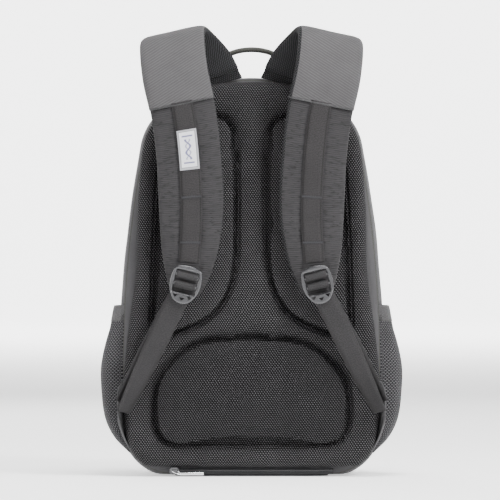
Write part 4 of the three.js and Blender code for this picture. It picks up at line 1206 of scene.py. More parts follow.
# %% Yoke seams
def yoke_seam(name, side):
    """A circle of 0.8 mm carried along the cover's oval at its end."""
    centre, inward, normal, width, thickness = strap_frames(np.array([YOKE_SHARE + 0.0015]))
    a = np.sin(np.linspace(-1.45, 1.45, 60))
    lift = oval(a, 8.0) * (thickness[0] / 2 + 1.35)
    path = centre + inward * (a * (width[0] / 2 + 0.6))[:, None] + normal * lift[:, None]
    along = np.cross(normal, inward)
    up = np.cross(directions(path), along)
    turn = circle(8)[:, None]
    rings = path[:, None] + 0.8 * (along * np.cos(turn) + up[:, None] * np.sin(turn))
    return tube_piece(f"{name}_yoke_seam", mirrored(rings, side))


for name, side in SIDES.items():
    finish_piece(yoke_seam(name, side), f"{name}_strap", "twill", "zip_teeth")


# %% [markdown]
# The lining of each strap goes on past the strap and is sewn to the back under the binding. It is a plain
# flat tab, and it belongs to the bag, so the strap can hinge above it.


# %% Strap roots
def strap_root(name, side):
    """A flat tab that starts inside the strap's end and leans along the strap down the bag's back."""
    centre, inward = strap_frames(np.array([0.0]))[:2]
    down = np.linspace(3.0, -9.5, 14)[:, None]
    x = np.linspace(-34.5, 34.5, 40)
    lean = np.array([0.52, 0.0, 1.0])
    grid = (centre[0] + lean * down)[:, None] + inward[0] * x[:, None]
    grid[..., 1] = -83.0 + 0.144 * np.clip(-down, 0, None)
    uv = together(x, down)
    return cloth_piece(f"{name}_strap_foot", mirrored(grid, side), uv, 2.5, lambda p: p * 0 + [0, -1, 0])


for name, side in SIDES.items():
    finish_piece(strap_root(name, side), "bag", "lining", "strap_mesh")

# %% [markdown]
# A band of webbing is sewn down the middle of each strap. A plane with Solidify would have knife edges, and
# the light on the rounded edge is what shows that it lies on the strap, so a rounded oblong is carried
# along.


# %% Strap webbing
WEBBING_THICKNESS = 1.3
BAND = np.array([(-1, -0.5), (-1, 0.5), (-0.5, 0.62), (0, 0.62), (0.5, 0.62), (1, 0.5), (1, -0.5), (0, -0.5)])


def flat_strip(name, centre, sideways, normal, side, section=BAND, place=mirrored):
    """Webbing as a thin flat band: a section, in half widths and thicknesses, carried along a path."""
    across, up = section[:, :1] * WEBBING_HALF, section[:, 1:] * WEBBING_THICKNESS
    rings = centre[:, None] + sideways[:, None] * across + normal[:, None] * up
    return tube_piece(name, place(rings, side), together(across[:, 0], run_along(centre)[:, None]))


def strap_webbing(name, side):
    """The strap's centre lifted onto its face, with a slow wave."""
    shares = np.linspace(YOKE_SHARE - 0.004, WEBBING_END, 110)
    centre, inward, normal, _, thickness = strap_frames(shares)
    wave = ripple(centre, 70, 31) * 0.25
    lifted = centre + normal * (thickness / 2 + 0.95 + wave)[:, None]
    return flat_strip(f"{name}_strap_webbing_band", lifted, inward, normal, side)


for name, side in SIDES.items():
    finish_piece(strap_webbing(name, side), f"{name}_strap", "webbing", "webbing", f"{name}_strap_webbing")

# %% [markdown]
# Bar tacks are dense zigzags that lock the webbing. Their threads could be a pattern, but two short ribbed
# bars that stand proud catch the light as the real ones do.


# %% Bar tacks
def bar_tack(name, side, height):
    """A flat oval carried across the webbing along a square wave, whose steps are the ribs of the
    stitching."""
    centre, inward, normal, _, thickness = strap_frames(np.array([share_at(height)]))
    along = np.cross(normal, inward)
    x = np.linspace(-1, 1, 90)
    middle = centre + normal * (thickness / 2 + 1.8)
    ribs = 0.55 * np.sign(np.sin(x * 62))
    path = middle + inward * (x * (WEBBING_HALF - 0.7))[:, None] + along * ribs[:, None]
    turn = circle(6)[:, None]
    rings = path[:, None] + along * (1.1 * np.cos(turn)) + normal * (0.55 * np.sin(turn))
    return tube_piece(name, mirrored(rings, side))


for name, side in SIDES.items():
    for count, height in enumerate((328, 275)):
        tack = bar_tack(f"{name}_bar_tack_{count + 1}", side, height)
        finish_piece(tack, f"{name}_strap", "webbing", "lining")

# %% [markdown]
# A ladder-lock buckle is one moulding: a rounded ring round a window, two bars across it and a thumb lip
# with three cuts. It could be cut from a block and bevelled, but its edges are round everywhere. So we
# carry a crowned section round the ring, from the window's edge to the outline, and the lip is simply the
# place where the section grows wide. Only the sharp cuts are made by a Boolean.

# %% Buckle places
BUCKLE_AT = np.array([77.5, -130, 225.0])
BUCKLE_TILT = math.radians(14)
BARS = (10.2, -0.8)


def buckle_place(points, side):
    """Points of a buckle's own frame, x across, y out of the bag's back and z up the strap, set on one
    side."""
    p = np.asarray(points, float)
    c, s = math.cos(BUCKLE_TILT), math.sin(BUCKLE_TILT)
    turned = np.stack([p[..., 0] * c - p[..., 2] * s, p[..., 1], p[..., 0] * s + p[..., 2] * c], -1)
    return mirrored(turned + BUCKLE_AT, side)


def quadratic(points, count=14):
    """Points on a chain of curves that each bend towards one control point: a (1-t)^2 + 2 b t(1-t) + c
    t^2."""
    p = np.asarray(points, float)
    t = np.linspace(0, 1, count, endpoint=False)[:, None]
    chain = zip(p[:-2:2], p[1:-1:2], p[2::2])
    return np.vstack([a * (1 - t) ** 2 + 2 * b * t * (1 - t) + c * t**2 for a, b, c in chain])


def by_angle(loop, centre, angles):
    """Where rays at the given angles leave a closed loop round a centre."""
    offset = loop - centre
    bearing = np.unwrap(np.arctan2(offset[:, 1], offset[:, 0]))
    if bearing[-1] < bearing[0]:
        offset, bearing = offset[::-1], bearing[::-1]
    radius = np.hypot(*offset.T)
    base, whole = bearing[0], 2 * math.pi
    at = (angles - base) % whole + base
    r = np.interp(at, np.append(bearing, base + whole), np.append(radius, radius[0]))
    return centre + np.stack([np.cos(angles), np.sin(angles)], -1) * r[:, None]


def rounded_box_loop(half_x, low, high, radius, count=240):
    """A rectangle with round corners, as a loop of points."""
    x, a, b = half_x - radius, high - radius, low + radius
    turn = np.radians(np.linspace(0, 90, 10))
    arcs = []
    for quarter, corner in enumerate(((x, a), (-x, a), (-x, b), (x, b))):
        angle = turn + quarter * math.pi / 2
        arcs.append(corner + radius * np.stack([np.cos(angle), np.sin(angle)], -1))
    return evenly_round(np.vstack(arcs), count)


def buckle_frame(side, name):
    """The ring and its bars. u runs from the window's edge, 0, to the outline, 1, as a rounded box turns,
    and the thickness and the droop of the lip grow from the ring's own width."""
    outline = quadratic(
        [(-14, 19.5), (0, 25.5), (14, 19.5), (17.5, 17.5), (18, 9), (20, -6), (13, -15), (9, -22.5),
         (0, -22.5), (-9, -22.5), (-13, -15), (-20, -6), (-18, 9), (-17.5, 17.5), (-14, 19.5)]
    )
    centre = np.array([0.0, 3.0])
    outer = by_angle(outline, centre, circle(200))
    inner = by_angle(rounded_box_loop(13.6, -10.5, 16.2, 2.0), centre, circle(200))
    turn = circle(24)
    u = 0.5 + 0.5 * soft_power(np.cos(turn), 0.7)
    lift = soft_power(np.sin(turn), 0.8)
    width = np.hypot(*(outer - inner).T)
    lip = (np.clip((-outer[:, 1] - 9) / 8, 0, 1) * np.clip((width - 4) / 4, 0, 1))[:, None]
    xz = inner[:, None] + (outer - inner)[:, None] * u[:, None]
    y = lift * (2.0 - 0.35 * lip) - 1.2 * (lip * u) ** 2
    parts = [tube_piece(name, buckle_place(together(xz[..., 0], y, xz[..., 1]), side), loop=True)]
    x = np.linspace(-14.6, 14.6, 24)[:, None]
    for at in BARS:
        bar = together(x, 1.25 * lift, at + 1.8 * soft_power(np.cos(turn), 0.8))
        parts.append(tube_piece(f"{name}_bar", buckle_place(bar, side)))
    return parts


def remove(piece):
    """Takes a helper piece and its mesh out of the scene."""
    mesh = piece.data
    bpy.data.objects.remove(piece)
    bpy.data.meshes.remove(mesh)


def join(name, parts):
    """Several pieces become one mesh."""
    work = bmesh.new()
    for part in parts:
        work.from_mesh(part.data)
    mesh = bpy.data.meshes.new(name)
    work.to_mesh(mesh)
    work.free()
    for part in parts:
        remove(part)
    mesh.shade_smooth()
    piece = bpy.data.objects.new(name, mesh)
    bpy.context.scene.collection.objects.link(piece)
    return piece


def cut(piece, tool):
    """Takes a tool's shape out of a piece."""
    change = piece.modifiers.new("cut", "BOOLEAN")
    change.operation, change.solver, change.object = "DIFFERENCE", "EXACT", tool
    apply_modifiers(piece)
    remove(tool)


def lip_cut(side, x):
    """A three-sided prism through the lip, whose point is 3.7 mm below its wide end."""
    low = -19.1 + abs(x) * 0.32
    mark = np.array([(x - 3.1, low + 3.7), (x, low), (x + 3.1, low + 3.7)])
    rings = together(mark[:, 0], np.array([[-8.0], [8.0]]), mark[:, 1])
    return tube_piece("lip_cut", buckle_place(rings, side))


for name, side in SIDES.items():
    frame_part, *bars = buckle_frame(side, f"{name}_buckle_moulding")
    for x in (-8.5, 0, 8.5):
        cut(frame_part, lip_cut(side, x))
    buckle = join(f"{name}_buckle_moulding", [frame_part, *bars])
    buckle.data.set_sharp_from_angle(angle=math.radians(40))
    finish_piece(buckle, f"{name}_buckle_body", "plastic", "plastic", f"{name}_buckle")


# %% [markdown]
# Webbing holds the buckle from above and comes back round its lower bar. Each is a U seen from the side. A
# bent plane would crease at the turn, so the section follows a path with a true half circle in it.


# %% Webbing round the bars
THIN_BAND = np.array(
    [(-1, -0.4), (-1, 0.4), (-0.9, 0.5), (0.9, 0.5), (1, 0.4), (1, -0.4), (0.9, -0.5), (-0.9, -0.5)])


def bar_turn(name, side, bar_at, reach):
    """Webbing that comes from behind, goes round a bar on a half circle, and returns."""
    clear, front = 3.65, -3.2
    turn = np.linspace(math.pi / 2, -math.pi / 2, 17)
    back = np.linspace(reach, front + clear, 8, endpoint=False)
    y = np.concatenate([back, front + clear - clear * np.cos(turn), back[::-1]])
    z = bar_at + np.concatenate([np.full(8, clear), clear * np.sin(turn), np.full(8, -clear)])
    path = together(0.0, y, z)
    sideways = np.tile([1.0, 0, 0], (len(path), 1))
    normal = np.cross(sideways, directions(path))
    return flat_strip(name, path, sideways, normal, side, THIN_BAND, buckle_place)


for name, side in SIDES.items():
    loop = bar_turn(f"{name}_loop_band", side, BARS[0], 6.4)
    finish_piece(loop, f"{name}_strap", "webbing", "plain_webbing", f"{name}_buckle_loop")
    turned = bar_turn(f"{name}_turn_band", side, BARS[1], 2.3)
    finish_piece(turned, f"{name}_buckle_body", "webbing", "plain_webbing", f"{name}_webbing_turn")

# %% [markdown]
# Below each buckle two layers of webbing run out to the bag's corner. The one underneath is sewn into the
# corner wing, so it runs from the bag to the strap and is not attached to either; the one on top is the free
# tail, hemmed at its end. A hanging cord could be simulated, but short stiff webbing under its own fold stays
# nearly straight, so its line is given and only its twist and a slight waver are worked out.

# %% Lower webbing and tails
TAIL_TOP, TAIL_END = np.array([83.8, -125.8, 212.8]), np.array([150.0, -112.0, 76.0])
LOWER_TOP, LOWER_END = np.array([83.8, -122.8, 213.8]), np.array([152.0, -105.5, 88.0])
TWIST = 58.0


def webbing_run(name, side, points):
    """Flat webbing along a path. Its width starts level with the bag's back, and turns by TWIST degrees
    towards the bag's side on its way down."""
    step = directions(points)
    normal = np.array([0, -1.0, 0]) + step * step[:, 1:2]
    normal /= np.linalg.norm(normal, axis=1, keepdims=True)
    angle = (math.radians(TWIST) * np.linspace(0, 1, len(points)) ** 1.7)[:, None]
    turned = normal * np.cos(angle) + np.cross(step, normal) * np.sin(angle)
    return flat_strip(name, points, np.cross(turned, step), turned, side)


def wavering(a, b, count, seed):
    """A line from a to b that wavers a little in depth between its ends."""
    t = np.linspace(0, 1, count)
    line = a + (b - a) * t[:, None]
    line[:, 1] += ripple(line, 90, seed) * 0.5 * np.sin(math.pi * t)
    return line


for name, side in SIDES.items():
    lower = webbing_run(f"{name}_lower_band", side, wavering(LOWER_TOP, LOWER_END, 60, 41))
    lower.data.materials.append(MATERIALS["plain_webbing"])
    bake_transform(lower)
    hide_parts(f"{name}_lower_webbing")
    path = wavering(TAIL_TOP, TAIL_END, 70, 42 + side)
    tail = webbing_run(f"{name}_tail_band", side, path)
    finish_piece(tail, f"{name}_tail", "webbing", "plain_webbing", f"{name}_webbing_tail")

# %% [markdown]
# A corner wing is a tab of doubled cloth that spreads the pull of the webbing over the side seam. It is a
# surface between two edges, which is how the real one is cut; a flat triangle would not meet the curved
# seam.


# %% Corner wings
def wing(name, side):
    """Straight lines from the side seam out to the webbing's foot, bowed a little between them."""
    seam_z = np.linspace(112, 20, 26)
    seam = together(body_half(seam_z) - 1.0, -75.0, seam_z)
    tip = together(157.0, -103.5, np.linspace(90, 66, 26))
    t = np.linspace(0, 1, 18)[:, None]
    grid = seam + (tip - seam) * t[..., None]
    grid[..., 0] += (2.2 + 0.5 * ripple(grid, 22, 51)) * np.sin(math.pi * t)
    uv = together(t * 40, seam_z)
    return cloth_piece(f"{name}_corner_wing", mirrored(grid, side), uv, 1.6, lambda p: p * [1, 0, 0])


for name, side in SIDES.items():
    finish_piece(wing(name, side), "bag", "polyester", "polyester", f"{name}_wing")

# %% [markdown]
# Each side pocket is a pouch of stretch mesh. Its section is a box with round corners that starts and ends
# on the bag's side; going down, the pouch follows its own outer edge until it meets the bag's corner. The
# elastic round the mouth pulls the mesh into small upright gathers. A cloth simulation would find such
# gathers, but not the same outline, so they are waves that fade out below the mouth.

# %% Side pockets
POCKET_EDGE = np.array(
    [(160.5, 200), (165, 176), (172.5, 142), (174.5, 112), (171, 74), (160, 46), (144, 27)], float)
POCKET_TOP, POCKET_LOW = 200.0, 27.0
POCKET_Y, POCKET_REACH, POCKET_DEPTH = -31.0, 22.0, 43.0


def pocket_section(angle):
    """How far out a pocket reaches, 0 to 1, and its depth along the bag, -1 to 1, at an angle round its
    section."""
    return np.clip(np.sin(angle), 0, None) ** 0.24, -soft_power(np.cos(angle), 0.62)


def pocket_grid(rows, columns, z_top, z_low, grow, gathers):
    """Points of a pocket's wall between two heights, evenly spaced round its section."""
    dense = np.linspace(0, math.pi, 2000)
    reach, along = pocket_section(dense)
    run = run_along(np.stack([reach * POCKET_REACH, along * POCKET_DEPTH], -1))
    length = np.linspace(0, run[-1], columns)
    angle = np.interp(length, run, dense)
    reach, along = pocket_section(angle)
    edge = smooth_path(POCKET_EDGE, np.linspace(0, 1, 400))
    z = np.linspace(z_top, z_low, rows)[:, None]
    bulge = 3.2 * np.sin(math.pi * np.clip((POCKET_TOP - z) / (POCKET_TOP - POCKET_LOW), 0, 1)) ** 0.6
    out = np.interp(z, edge[::-1, 1], edge[::-1, 0]) + grow + bulge
    sunk = body_half(z) - 5
    grid = together(sunk + (out - sunk) * reach, POCKET_Y + POCKET_DEPTH * along, z)
    middle = np.sin(angle) ** 0.5
    wave = ripple(grid * [0.3, 1, 0.8], 48, 8)
    folds = ripple(grid * [0.2, 3.0, 0.35], 26, 9) * np.exp(-(z_top - z) / 45.0)
    grid[..., 0] += middle * (gathers * folds + 1.3 * wave)
    grid[..., 1] += (1 - middle) * wave * 0.8
    return grid, together(length, z)


for name, side in SIDES.items():
    grid, uv = pocket_grid(90, 110, 190, 27.5, 0, 0.7)
    pouch = cloth_piece(f"{name}_pocket_pouch", mirrored(grid, side), uv, 1.4, lambda p: p * [1, 0, 0])
    finish_piece(pouch, "bag", "pocket_mesh", "pocket_mesh", f"{name}_side_pocket")
    grid, uv = pocket_grid(14, 110, 200.5, 182, 0.7, 0.35)
    band = cloth_piece(f"{name}_pocket_band", mirrored(grid, side), uv, 2.2, lambda p: p * [1, 0, 0])
    finish_piece(band, "bag", "webbing", "elastic", f"{name}_pocket_elastic")

# %% [markdown]
# The grab handle is a flattened tube of webbing, narrow where it is sewn down. A torus would have the same
# width all round, so here too a section follows a path, and the width changes along it.


# %% Grab handle
def grab_handle():
    """An arch of flattened tube. Each foot is round about the hinge, so that folding leaves it clear of the
    bag."""
    hinge_z, low, half_span, rise, foot_radius = 467.56, 462.0, 49, 34, 5.6
    turn = np.linspace(0, math.pi, 80)
    leg = np.linspace(0, 1, 8)[:-1, None]
    arch = np.stack([half_span * np.cos(turn), hinge_z + rise * np.sin(turn)], -1)
    right, left = np.array([half_span, low]), np.array([-half_span, low])
    rise_leg, fall_leg = right + (arch[0] - right) * leg, arch[-1] + (left - arch[-1]) * leg[1:]
    path = np.vstack([rise_leg, arch, fall_leg, left])
    step = directions(path)
    out = np.stack([step[:, 1], -step[:, 0]], -1)
    below = np.clip(hinge_z - path[:, 1], 0, None)
    foot = np.sqrt(np.clip(foot_radius**2 - below**2, 0.3, None))
    width = (foot + np.interp(path[:, 1], [hinge_z, 470, 486], [0, 1.9, 5.4]))[:, None]
    angle = circle(24)
    across = soft_power(np.cos(angle), 0.6)
    seam = 1 - 0.25 * np.exp(-(((np.abs(across) - 0.72) / 0.09) ** 2))
    xz = path[:, None] + out[:, None] * (3.0 * soft_power(np.sin(angle), 0.8) * seam)[:, None]
    rings = together(xz[..., 0], -52 + width * across, xz[..., 1])
    return tube_piece("grab_handle_band", rings, together(width * across, run_along(path)[:, None]))


finish_piece(grab_handle(), "handle", "handle", "handle", "grab_handle")


# %% [markdown]
# The label is a woven patch with a raised border. Its picture is made of plain stripes and a wave, and it
# comes from the patch's own coordinates, in millimetres from its middle, so it needs no image.


# %% Label material
def label_material():
    """Two crossed waves in the middle, stripes above and below them, and a border round a woven ground."""

    def build(n, place, cloth):
        def beyond(half_x, half_y):
            """How far a place lies outside a rectangle round the middle, negative inside it."""
            return n.larger(n.minus(n.size(x), half_x), n.minus(n.size(y), half_y))

        at = n.add("ShaderNodeSeparateXYZ", {0: cloth}).outputs
        x, y = at["X"], n.minus(at["Y"], 23.2)
        wave = n.times(n.math("SINE", n.times(y, 0.42)), 2.6)
        first = n.smooth(n.size(n.minus(x, wave)), 1.5, 1.0)
        second = n.times(n.smooth(n.size(n.plus(x, wave)), 1.1, 0.7), 0.7)
        stripe = n.smooth(n.size(n.minus(n.math("FRACT", n.times(y, 0.16)), 0.5)), 0.16, 0.12)
        ends = n.smooth(n.size(y), 11.5, 12.5)
        bars = n.times(stripe, n.times(ends, n.smooth(n.size(x), 6.6, 6.0)))
        mark = n.larger(n.times(n.larger(first, second), n.minus(1.0, ends)), bars)
        threads = place_group(n, WEAVE, Vector=cloth, Warp=0.55, Weft=0.7, Slant=0.0)
        ground = n.mix(threads["Height"], (0.42, 0.42, 0.45), (0.66, 0.66, 0.69))
        shown = n.mix(mark, ground, (0.10, 0.095, 0.2))
        edge = n.smooth(beyond(9.2, 20.8), -0.4, 0.4)
        line = n.minus(edge, n.smooth(beyond(9.9, 21.5), -0.3, 0.3))
        framed = n.mix(edge, shown, (0.30, 0.30, 0.32))
        return n.mix(line, framed, (0.08, 0.08, 0.085)), threads["Height"], 0.15

    return cloth_material("label", build, roughness=0.5, specular=0.5)


MATERIALS["label"] = label_material()
print("label material:", len(MATERIALS["label"].node_tree.nodes), "nodes")


# %% Label
def label_patch():
    """A patch over the strap's webbing, raised along its border and falling to nothing at its very edge."""
    shares = np.linspace(share_at(406.5), share_at(360), 48)
    centre, inward, normal, _, thickness = strap_frames(shares)
    run = run_along(centre)
    half = 11.6
    x = np.linspace(-half, half, 44)
    edge = np.minimum(half - np.abs(x), np.minimum(run, run[-1] - run)[:, None])
    height = 0.45 + 0.75 * np.exp(-((edge - 1.3) / 1.0) ** 2) - 0.45 * np.exp(-((edge) / 0.4) ** 2)
    base = centre + normal * (thickness / 2 + 2.15)[:, None]
    grid = base[:, None] + inward[:, None] * x[:, None] + normal[:, None] * height[..., None]
    outward, uv = mirrored(normal.mean(0), -1), together(-x, run[:, None])
    return cloth_piece("label_patch", mirrored(grid, -1), uv, 0.8, lambda p: p * 0 + outward)


finish_piece(label_patch(), "left_strap", "label", "label", "strap_label")

# %% [markdown]
# The front half is the lid. It uses the same outline, cut off above the boot, and a front wall that leans
# back towards the top. It could be a mirrored rear shell, but the lean and the straight foot make it
# another shape.


# %% Lid
LID_FOOT = 60.6
LID_START = 22.9


def front_wall(z):
    """Depth of the lid's front wall: upright, and from a height of 280 mm leaning back by 20 mm to the
    top."""
    return FRONT_Y - 20.0 * np.clip((z - 280) / 198, 0, 1)


def lid():
    """The outline above the boot, closed along its flat foot, carried forward to the front wall and then
    drawn in to an upright line in its middle. Its foot doesn't swell."""
    above = OUTLINE[:, 1] > LID_FOOT + 0.4
    rim = half_width(LID_FOOT)
    foot = together(np.linspace(-rim, rim, 60)[1:-1], LID_FOOT)
    line = np.vstack([[rim, LID_FOOT], OUTLINE[above], [-rim, LID_FOOT], foot])
    way = np.vstack([[0.7, -0.7], OUTWARD[above], [-0.7, -0.7], np.tile([0.0, -1.0], (58, 1))])
    share = np.linspace(0, 1, 12)[:-1, None]
    edge_start = front_wall(line[:, 1]) - EDGE
    turn = EDGE_TURN[:, None]
    depth = np.vstack([LID_START + (edge_start - LID_START) * share, edge_start + EDGE * np.sin(turn)])
    inset = np.vstack([0 * share, EDGE - EDGE * np.cos(turn)])
    swell = np.vstack([1.6 * np.sin(math.pi * share) ** 0.8, 0 * turn])
    xz = line + way * (np.where(way[:, 1] > -0.5, swell, 0) - inset)[..., None]
    grid = together(xz[..., 0], depth, np.maximum(xz[..., 1], LID_FOOT))
    middle = together(0.0, 0.0, np.clip(line[:, 1], 190, 330))
    face = middle + (grid[-1] - middle) * np.linspace(1, 0, 26)[1:, None, None]
    face[..., 1] = front_wall(face[..., 2])
    walls = len(grid)
    grid = np.vstack([grid, face])
    grid[..., 1] += 0.36 * ripple(grid * [1, 0, 1], 80, 61) * np.clip((grid[..., 1] - 38) / 10, 0, 1) - 0.4
    row = np.arange(len(grid))[:, None]
    round_walls = together(run_along(line), row * 6.0)
    uv = np.where((row < walls)[..., None], round_walls, grid[..., [0, 2]])
    return cloth_piece("lid_cover", grid, uv, 2.6, lambda p: p - [0, 30, 260], True, 1, even=False)


finish_piece(lid(), "lid", "polyester", ["polyester", "lining"], "lid_shell")


# %% [markdown]
# The front pocket is a rounded box on the lid, with its zip set in a groove. The groove could be cut by a
# Boolean, but cloth goes down into it softly, so the face is drawn back by a smooth step on both sides of
# it.


# %% Front pocket
POCKET_ZIP_HALF, POCKET_ZIP_Z = 95.0, 266.0


def pocket_loop(inset, count=420):
    """The front pocket's outline moved in by an inset: straight foot, upright sides, round top corners."""
    half, top, low, radius = 128.0 - inset, 300.0 - inset, 60.8, 45.0 - inset
    turn = np.radians(np.linspace(0, 90, 24))
    right = np.stack([half - radius + radius * np.cos(turn), top - radius + radius * np.sin(turn)], -1)
    return evenly_round(np.vstack([[half, low], right, (right * [-1, 1])[::-1], [-half, low]]), count)


def zip_groove(x, z):
    """1 along the front pocket's zip and 0 away from it."""
    across = np.clip((9.0 - np.abs(z - POCKET_ZIP_Z)) / 3.5, 0, 1)
    ends = np.clip((POCKET_ZIP_HALF + 3 - np.abs(x)) / 4, 0, 1)
    return across**2 * (3 - 2 * across) * ends


def front_pocket():
    """The outline carried forward over a rounded edge, then drawn in to an upright line. The face wavers,
    and the groove of the zip is 3 mm deep."""
    side_wall = np.linspace(60.4, BOOT_Y - EDGE, 10)[:-1]
    depth = np.concatenate([side_wall, BOOT_Y - EDGE + EDGE * np.sin(EDGE_TURN)])
    inset = np.concatenate([0 * side_wall, EDGE - EDGE * np.cos(EDGE_TURN)])
    rows = np.array([together(*(pocket_loop(i).T), d)[:, [0, 2, 1]] for i, d in zip(inset, depth)])
    middle = together(0.0, rows[-1, :, 1], np.clip(rows[-1, :, 2], 150, 200))
    face = middle + (rows[-1] - middle) * np.linspace(1, 0, 60)[1:, None, None]
    grid = np.vstack([rows, face])
    front = np.clip((grid[..., 1] - 90) / 6, 0, 1)
    groove = 3.0 * zip_groove(grid[..., 0], grid[..., 2])
    grid[..., 1] += front * (0.8 * ripple(grid * [1, 0, 1], 75, 71) - 1.0 - groove)
    uv = together(grid[..., 0], grid[..., 2] + grid[..., 1])
    return cloth_piece("front_pocket_cover", grid, uv, 2.4, lambda p: p - [0, 50, 180], True, 1)


finish_piece(front_pocket(), "lid", "polyester", ["polyester", "lining"], "front_pocket")


# %% [markdown]
# A closed zip is two tapes with a coil between them. Hundreds of single teeth would cost many faces and
# show no more at this size, so the coil is one tube whose radius swells once for every tooth.


# %% Zips
def coil(name, path, out, radius, pitch=2.0):
    """A flattened tube along a path, its radius times 1 + 0.3 cos, with one turn of the cosine for each
    tooth."""
    run = run_along(path)
    at = np.linspace(0, run[-1], int(run[-1] / pitch * 4))
    centre = np.stack([np.interp(at, run, path[:, k]) for k in range(3)], -1)
    up = np.stack([np.interp(at, run, out[:, k]) for k in range(3)], -1)
    side = np.cross(directions(centre), up)
    swell = radius * (1 + 0.3 * np.cos(2 * math.pi * at / pitch))
    turn = circle(6)[:, None]
    spokes = side[:, None] * (1.2 * np.cos(turn)) + up[:, None] * (0.8 * np.sin(turn))
    return tube_piece(name, centre[:, None] + spokes * swell[:, None, None])


def straight_coil(name, half, y, z, out_y, radius, pitch=2.0):
    """A coil along a level line, from -half to half."""
    line = together(np.linspace(-half, half, 3), y, z)
    return coil(name, line, together(0.0, out_y, np.zeros(3)), radius, pitch)


def straight_tape(name, half, y, low, high, columns, rows, thickness, facing):
    """A level flat tape at a depth y, between two heights."""
    x, z = np.linspace(-half, half, columns)[:, None], np.linspace(low, high, rows)
    return cloth_piece(name, together(x, y, z), together(x, z), thickness, lambda p: p * 0 + [0, facing, 0])


ZIPPED = OUTLINE[:, 1] > LID_FOOT + 0.4
ZIP_LINE, ZIP_OUT, ZIP_RUN = OUTLINE[ZIPPED], OUTWARD[ZIPPED], OUTLINE_RUN[ZIPPED]


def outline_tape(name, y0, y1, thickness=1.0):
    """Zip tape lying 0.4 mm over the bag's outline above the boot, between two depths."""
    y = np.linspace(y0, y1, 7)
    xz = (ZIP_LINE + ZIP_OUT * (0.4 + thickness))[:, None]
    grid = together(xz[..., 0], y, xz[..., 1])
    uv = together(y - y0, ZIP_RUN[:, None])
    return cloth_piece(name, grid, uv, thickness, lambda p: p * [1, 0, 1] - [0, 0, 240])


for name, y0, y1, coil_y, body, node in (
    ("rear_zip", 13.2, 21.9, 21.0, "bag", "zip_tape_rear"),
    ("front_zip", 22.7, 31.4, 23.6, "lid", "zip_tape_front"),
):
    finish_piece(outline_tape(f"{name}_tape", y0, y1), body, "zip", "zip_tape", node)
    xz = ZIP_LINE + ZIP_OUT * 1.2
    path, out = together(xz[:, 0], coil_y, xz[:, 1]), together(ZIP_OUT[:, 0], 0.0, ZIP_OUT[:, 1])
    finish_piece(coil(f"{name}_teeth", path, out, 0.9), body, "zip", "zip_teeth")

teeth = straight_coil("front_pocket_zip_teeth", 94, 93.6, POCKET_ZIP_Z, 1.0, 1.5)
finish_piece(teeth, "lid", "zip", "zip_teeth")
tape = straight_tape("front_pocket_zip_tape", 94.6, 93.6, 262.6, 269.4, 60, 5, 1.0, 1)
finish_piece(tape, "lid", "zip", "zip_tape", "front_pocket_zip")
tape = straight_tape("base_zip_tape", 95.8, -82.3, 2.6, 9.8, 80, 6, 0.9, -1)
finish_piece(tape, "bag", "zip", "zip_tape", "base_zip")
teeth = straight_coil("base_zip_teeth", 95, -82.6, 7.0, -1.0, 1.0, 1.8)
finish_piece(teeth, "bag", "zip", "zip_teeth")

# %% [markdown]
# Inside, a padded sleeve for a flat computer stands against the back wall. It is a box open at its top,
# quilted in upright channels. Real quilting is foam under stitches, but here the channels are part of the
# same formula.


# %% Laptop sleeve
SLEEVE_Y = -59.7


def sleeve():
    """A rounded box section, drawn in under its foot and carried up. Each face sinks by 1.2 mm along
    upright seams 40 mm apart."""
    loop = rounded_box_loop(121.5, -14.7, 14.7, 9, 260)
    foot = [(26.5, 0.02), (26.3, 0.4), (26.3, 0.8), (27.5, 0.94), (31, 1.0)]
    z, size = np.vstack([foot, together(np.linspace(36, 325.5, 50), 1.0)]).T[..., None]
    grid = together(loop[:, 0] * size, SLEEVE_Y + loop[:, 1] * size, z)
    quilt = np.abs(np.sin(grid[..., 0] * math.pi / 40)) ** 0.35
    grid[..., 1] -= 1.2 * (1 - quilt) * np.sign(grid[..., 1] - SLEEVE_Y) * (grid[..., 2] > 34)
    uv = together(np.arange(260) * 2.05, z)
    return cloth_piece("laptop_sleeve_pad", grid, uv, 3.0, lambda p: p - [0, SLEEVE_Y, 150], around=True)


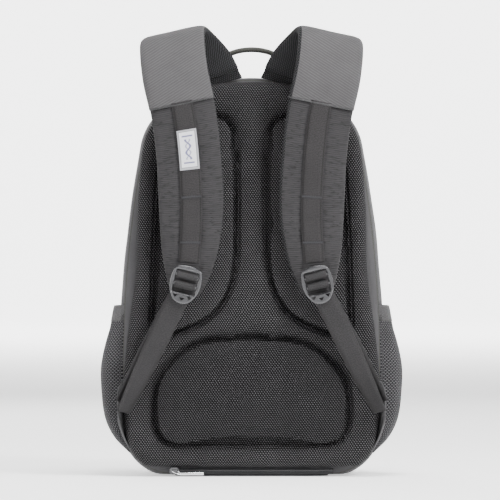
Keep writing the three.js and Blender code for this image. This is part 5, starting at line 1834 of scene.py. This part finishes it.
sleeve_piece = finish_piece(sleeve(), "bag", "lining", "lining", "laptop_sleeve")


# %% [markdown]
# The pull of the base zip is the one bright metal part: a wire eye hung from the slider and a smooth tube
# on it. Both are turned shapes, so a circle is carried along a ring and along a straight line with rounded
# ends.


# %% Base zip pull
def wire_ring(name, path, radius):
    """Round wire along a closed path in one plane whose normal is y."""
    step = np.roll(path, -1, 0) - np.roll(path, 1, 0)
    step /= np.linalg.norm(step, axis=1, keepdims=True)
    up = np.array([0, 1.0, 0])
    turn = circle(10)[:, None]
    spokes = np.cross(step, up)[:, None] * np.cos(turn) + up * np.sin(turn)
    return tube_piece(name, path[:, None] + radius * spokes, loop=True)


def base_pull():
    """A wire eye that hangs from the slider's bridge, and a bright tube on it."""
    y, tube_z = -89.35, 3.6
    x = -88.2 + 5.0 * np.cos(circle(48))
    eye = together(x, y, 6.6 - 3.0 * np.clip((x + 91) / 7, 0, 1) + 1.6 * np.sin(circle(48)))
    x = np.array([-84.2, -84.0, -83.4, -83.0, -57.0, -56.6, -56.0, -55.8])[:, None]
    r = np.array([0.5, 1.4, 1.9, 2.0, 2.0, 1.9, 1.4, 0.5])[:, None]
    tube = together(x, y + r * np.cos(circle(24)), tube_z + r * np.sin(circle(24)))
    return join("base_pull_tube", [wire_ring("eye", eye, 0.55), tube_piece("tube", tube)])


pull = finish_piece(base_pull(), "base_pull_body", "metal", "metal", "base_pull")
pull.data.set_sharp_from_angle(angle=math.radians(35))

# %% [markdown]
# The remaining solids are hard and already have their final shape, so drawing them again would add nothing:
# they stay and only get a finish.

# %% Finishes of the hard solids
HARD = {"base_panel": "board", "frame_sheet": "board", "base_slider": "plastic"}
for zip_name in ("main_left", "main_right", "front_pocket"):
    HARD |= {f"{zip_name}_slider": "plastic", f"{zip_name}_pull": "plastic"}
for node, material in HARD.items():
    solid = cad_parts[node]
    solid.data.materials.clear()
    solid.data.materials.append(MATERIALS[material])
print("shown solids:", sorted(k for k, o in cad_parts.items() if not o.hide_render))
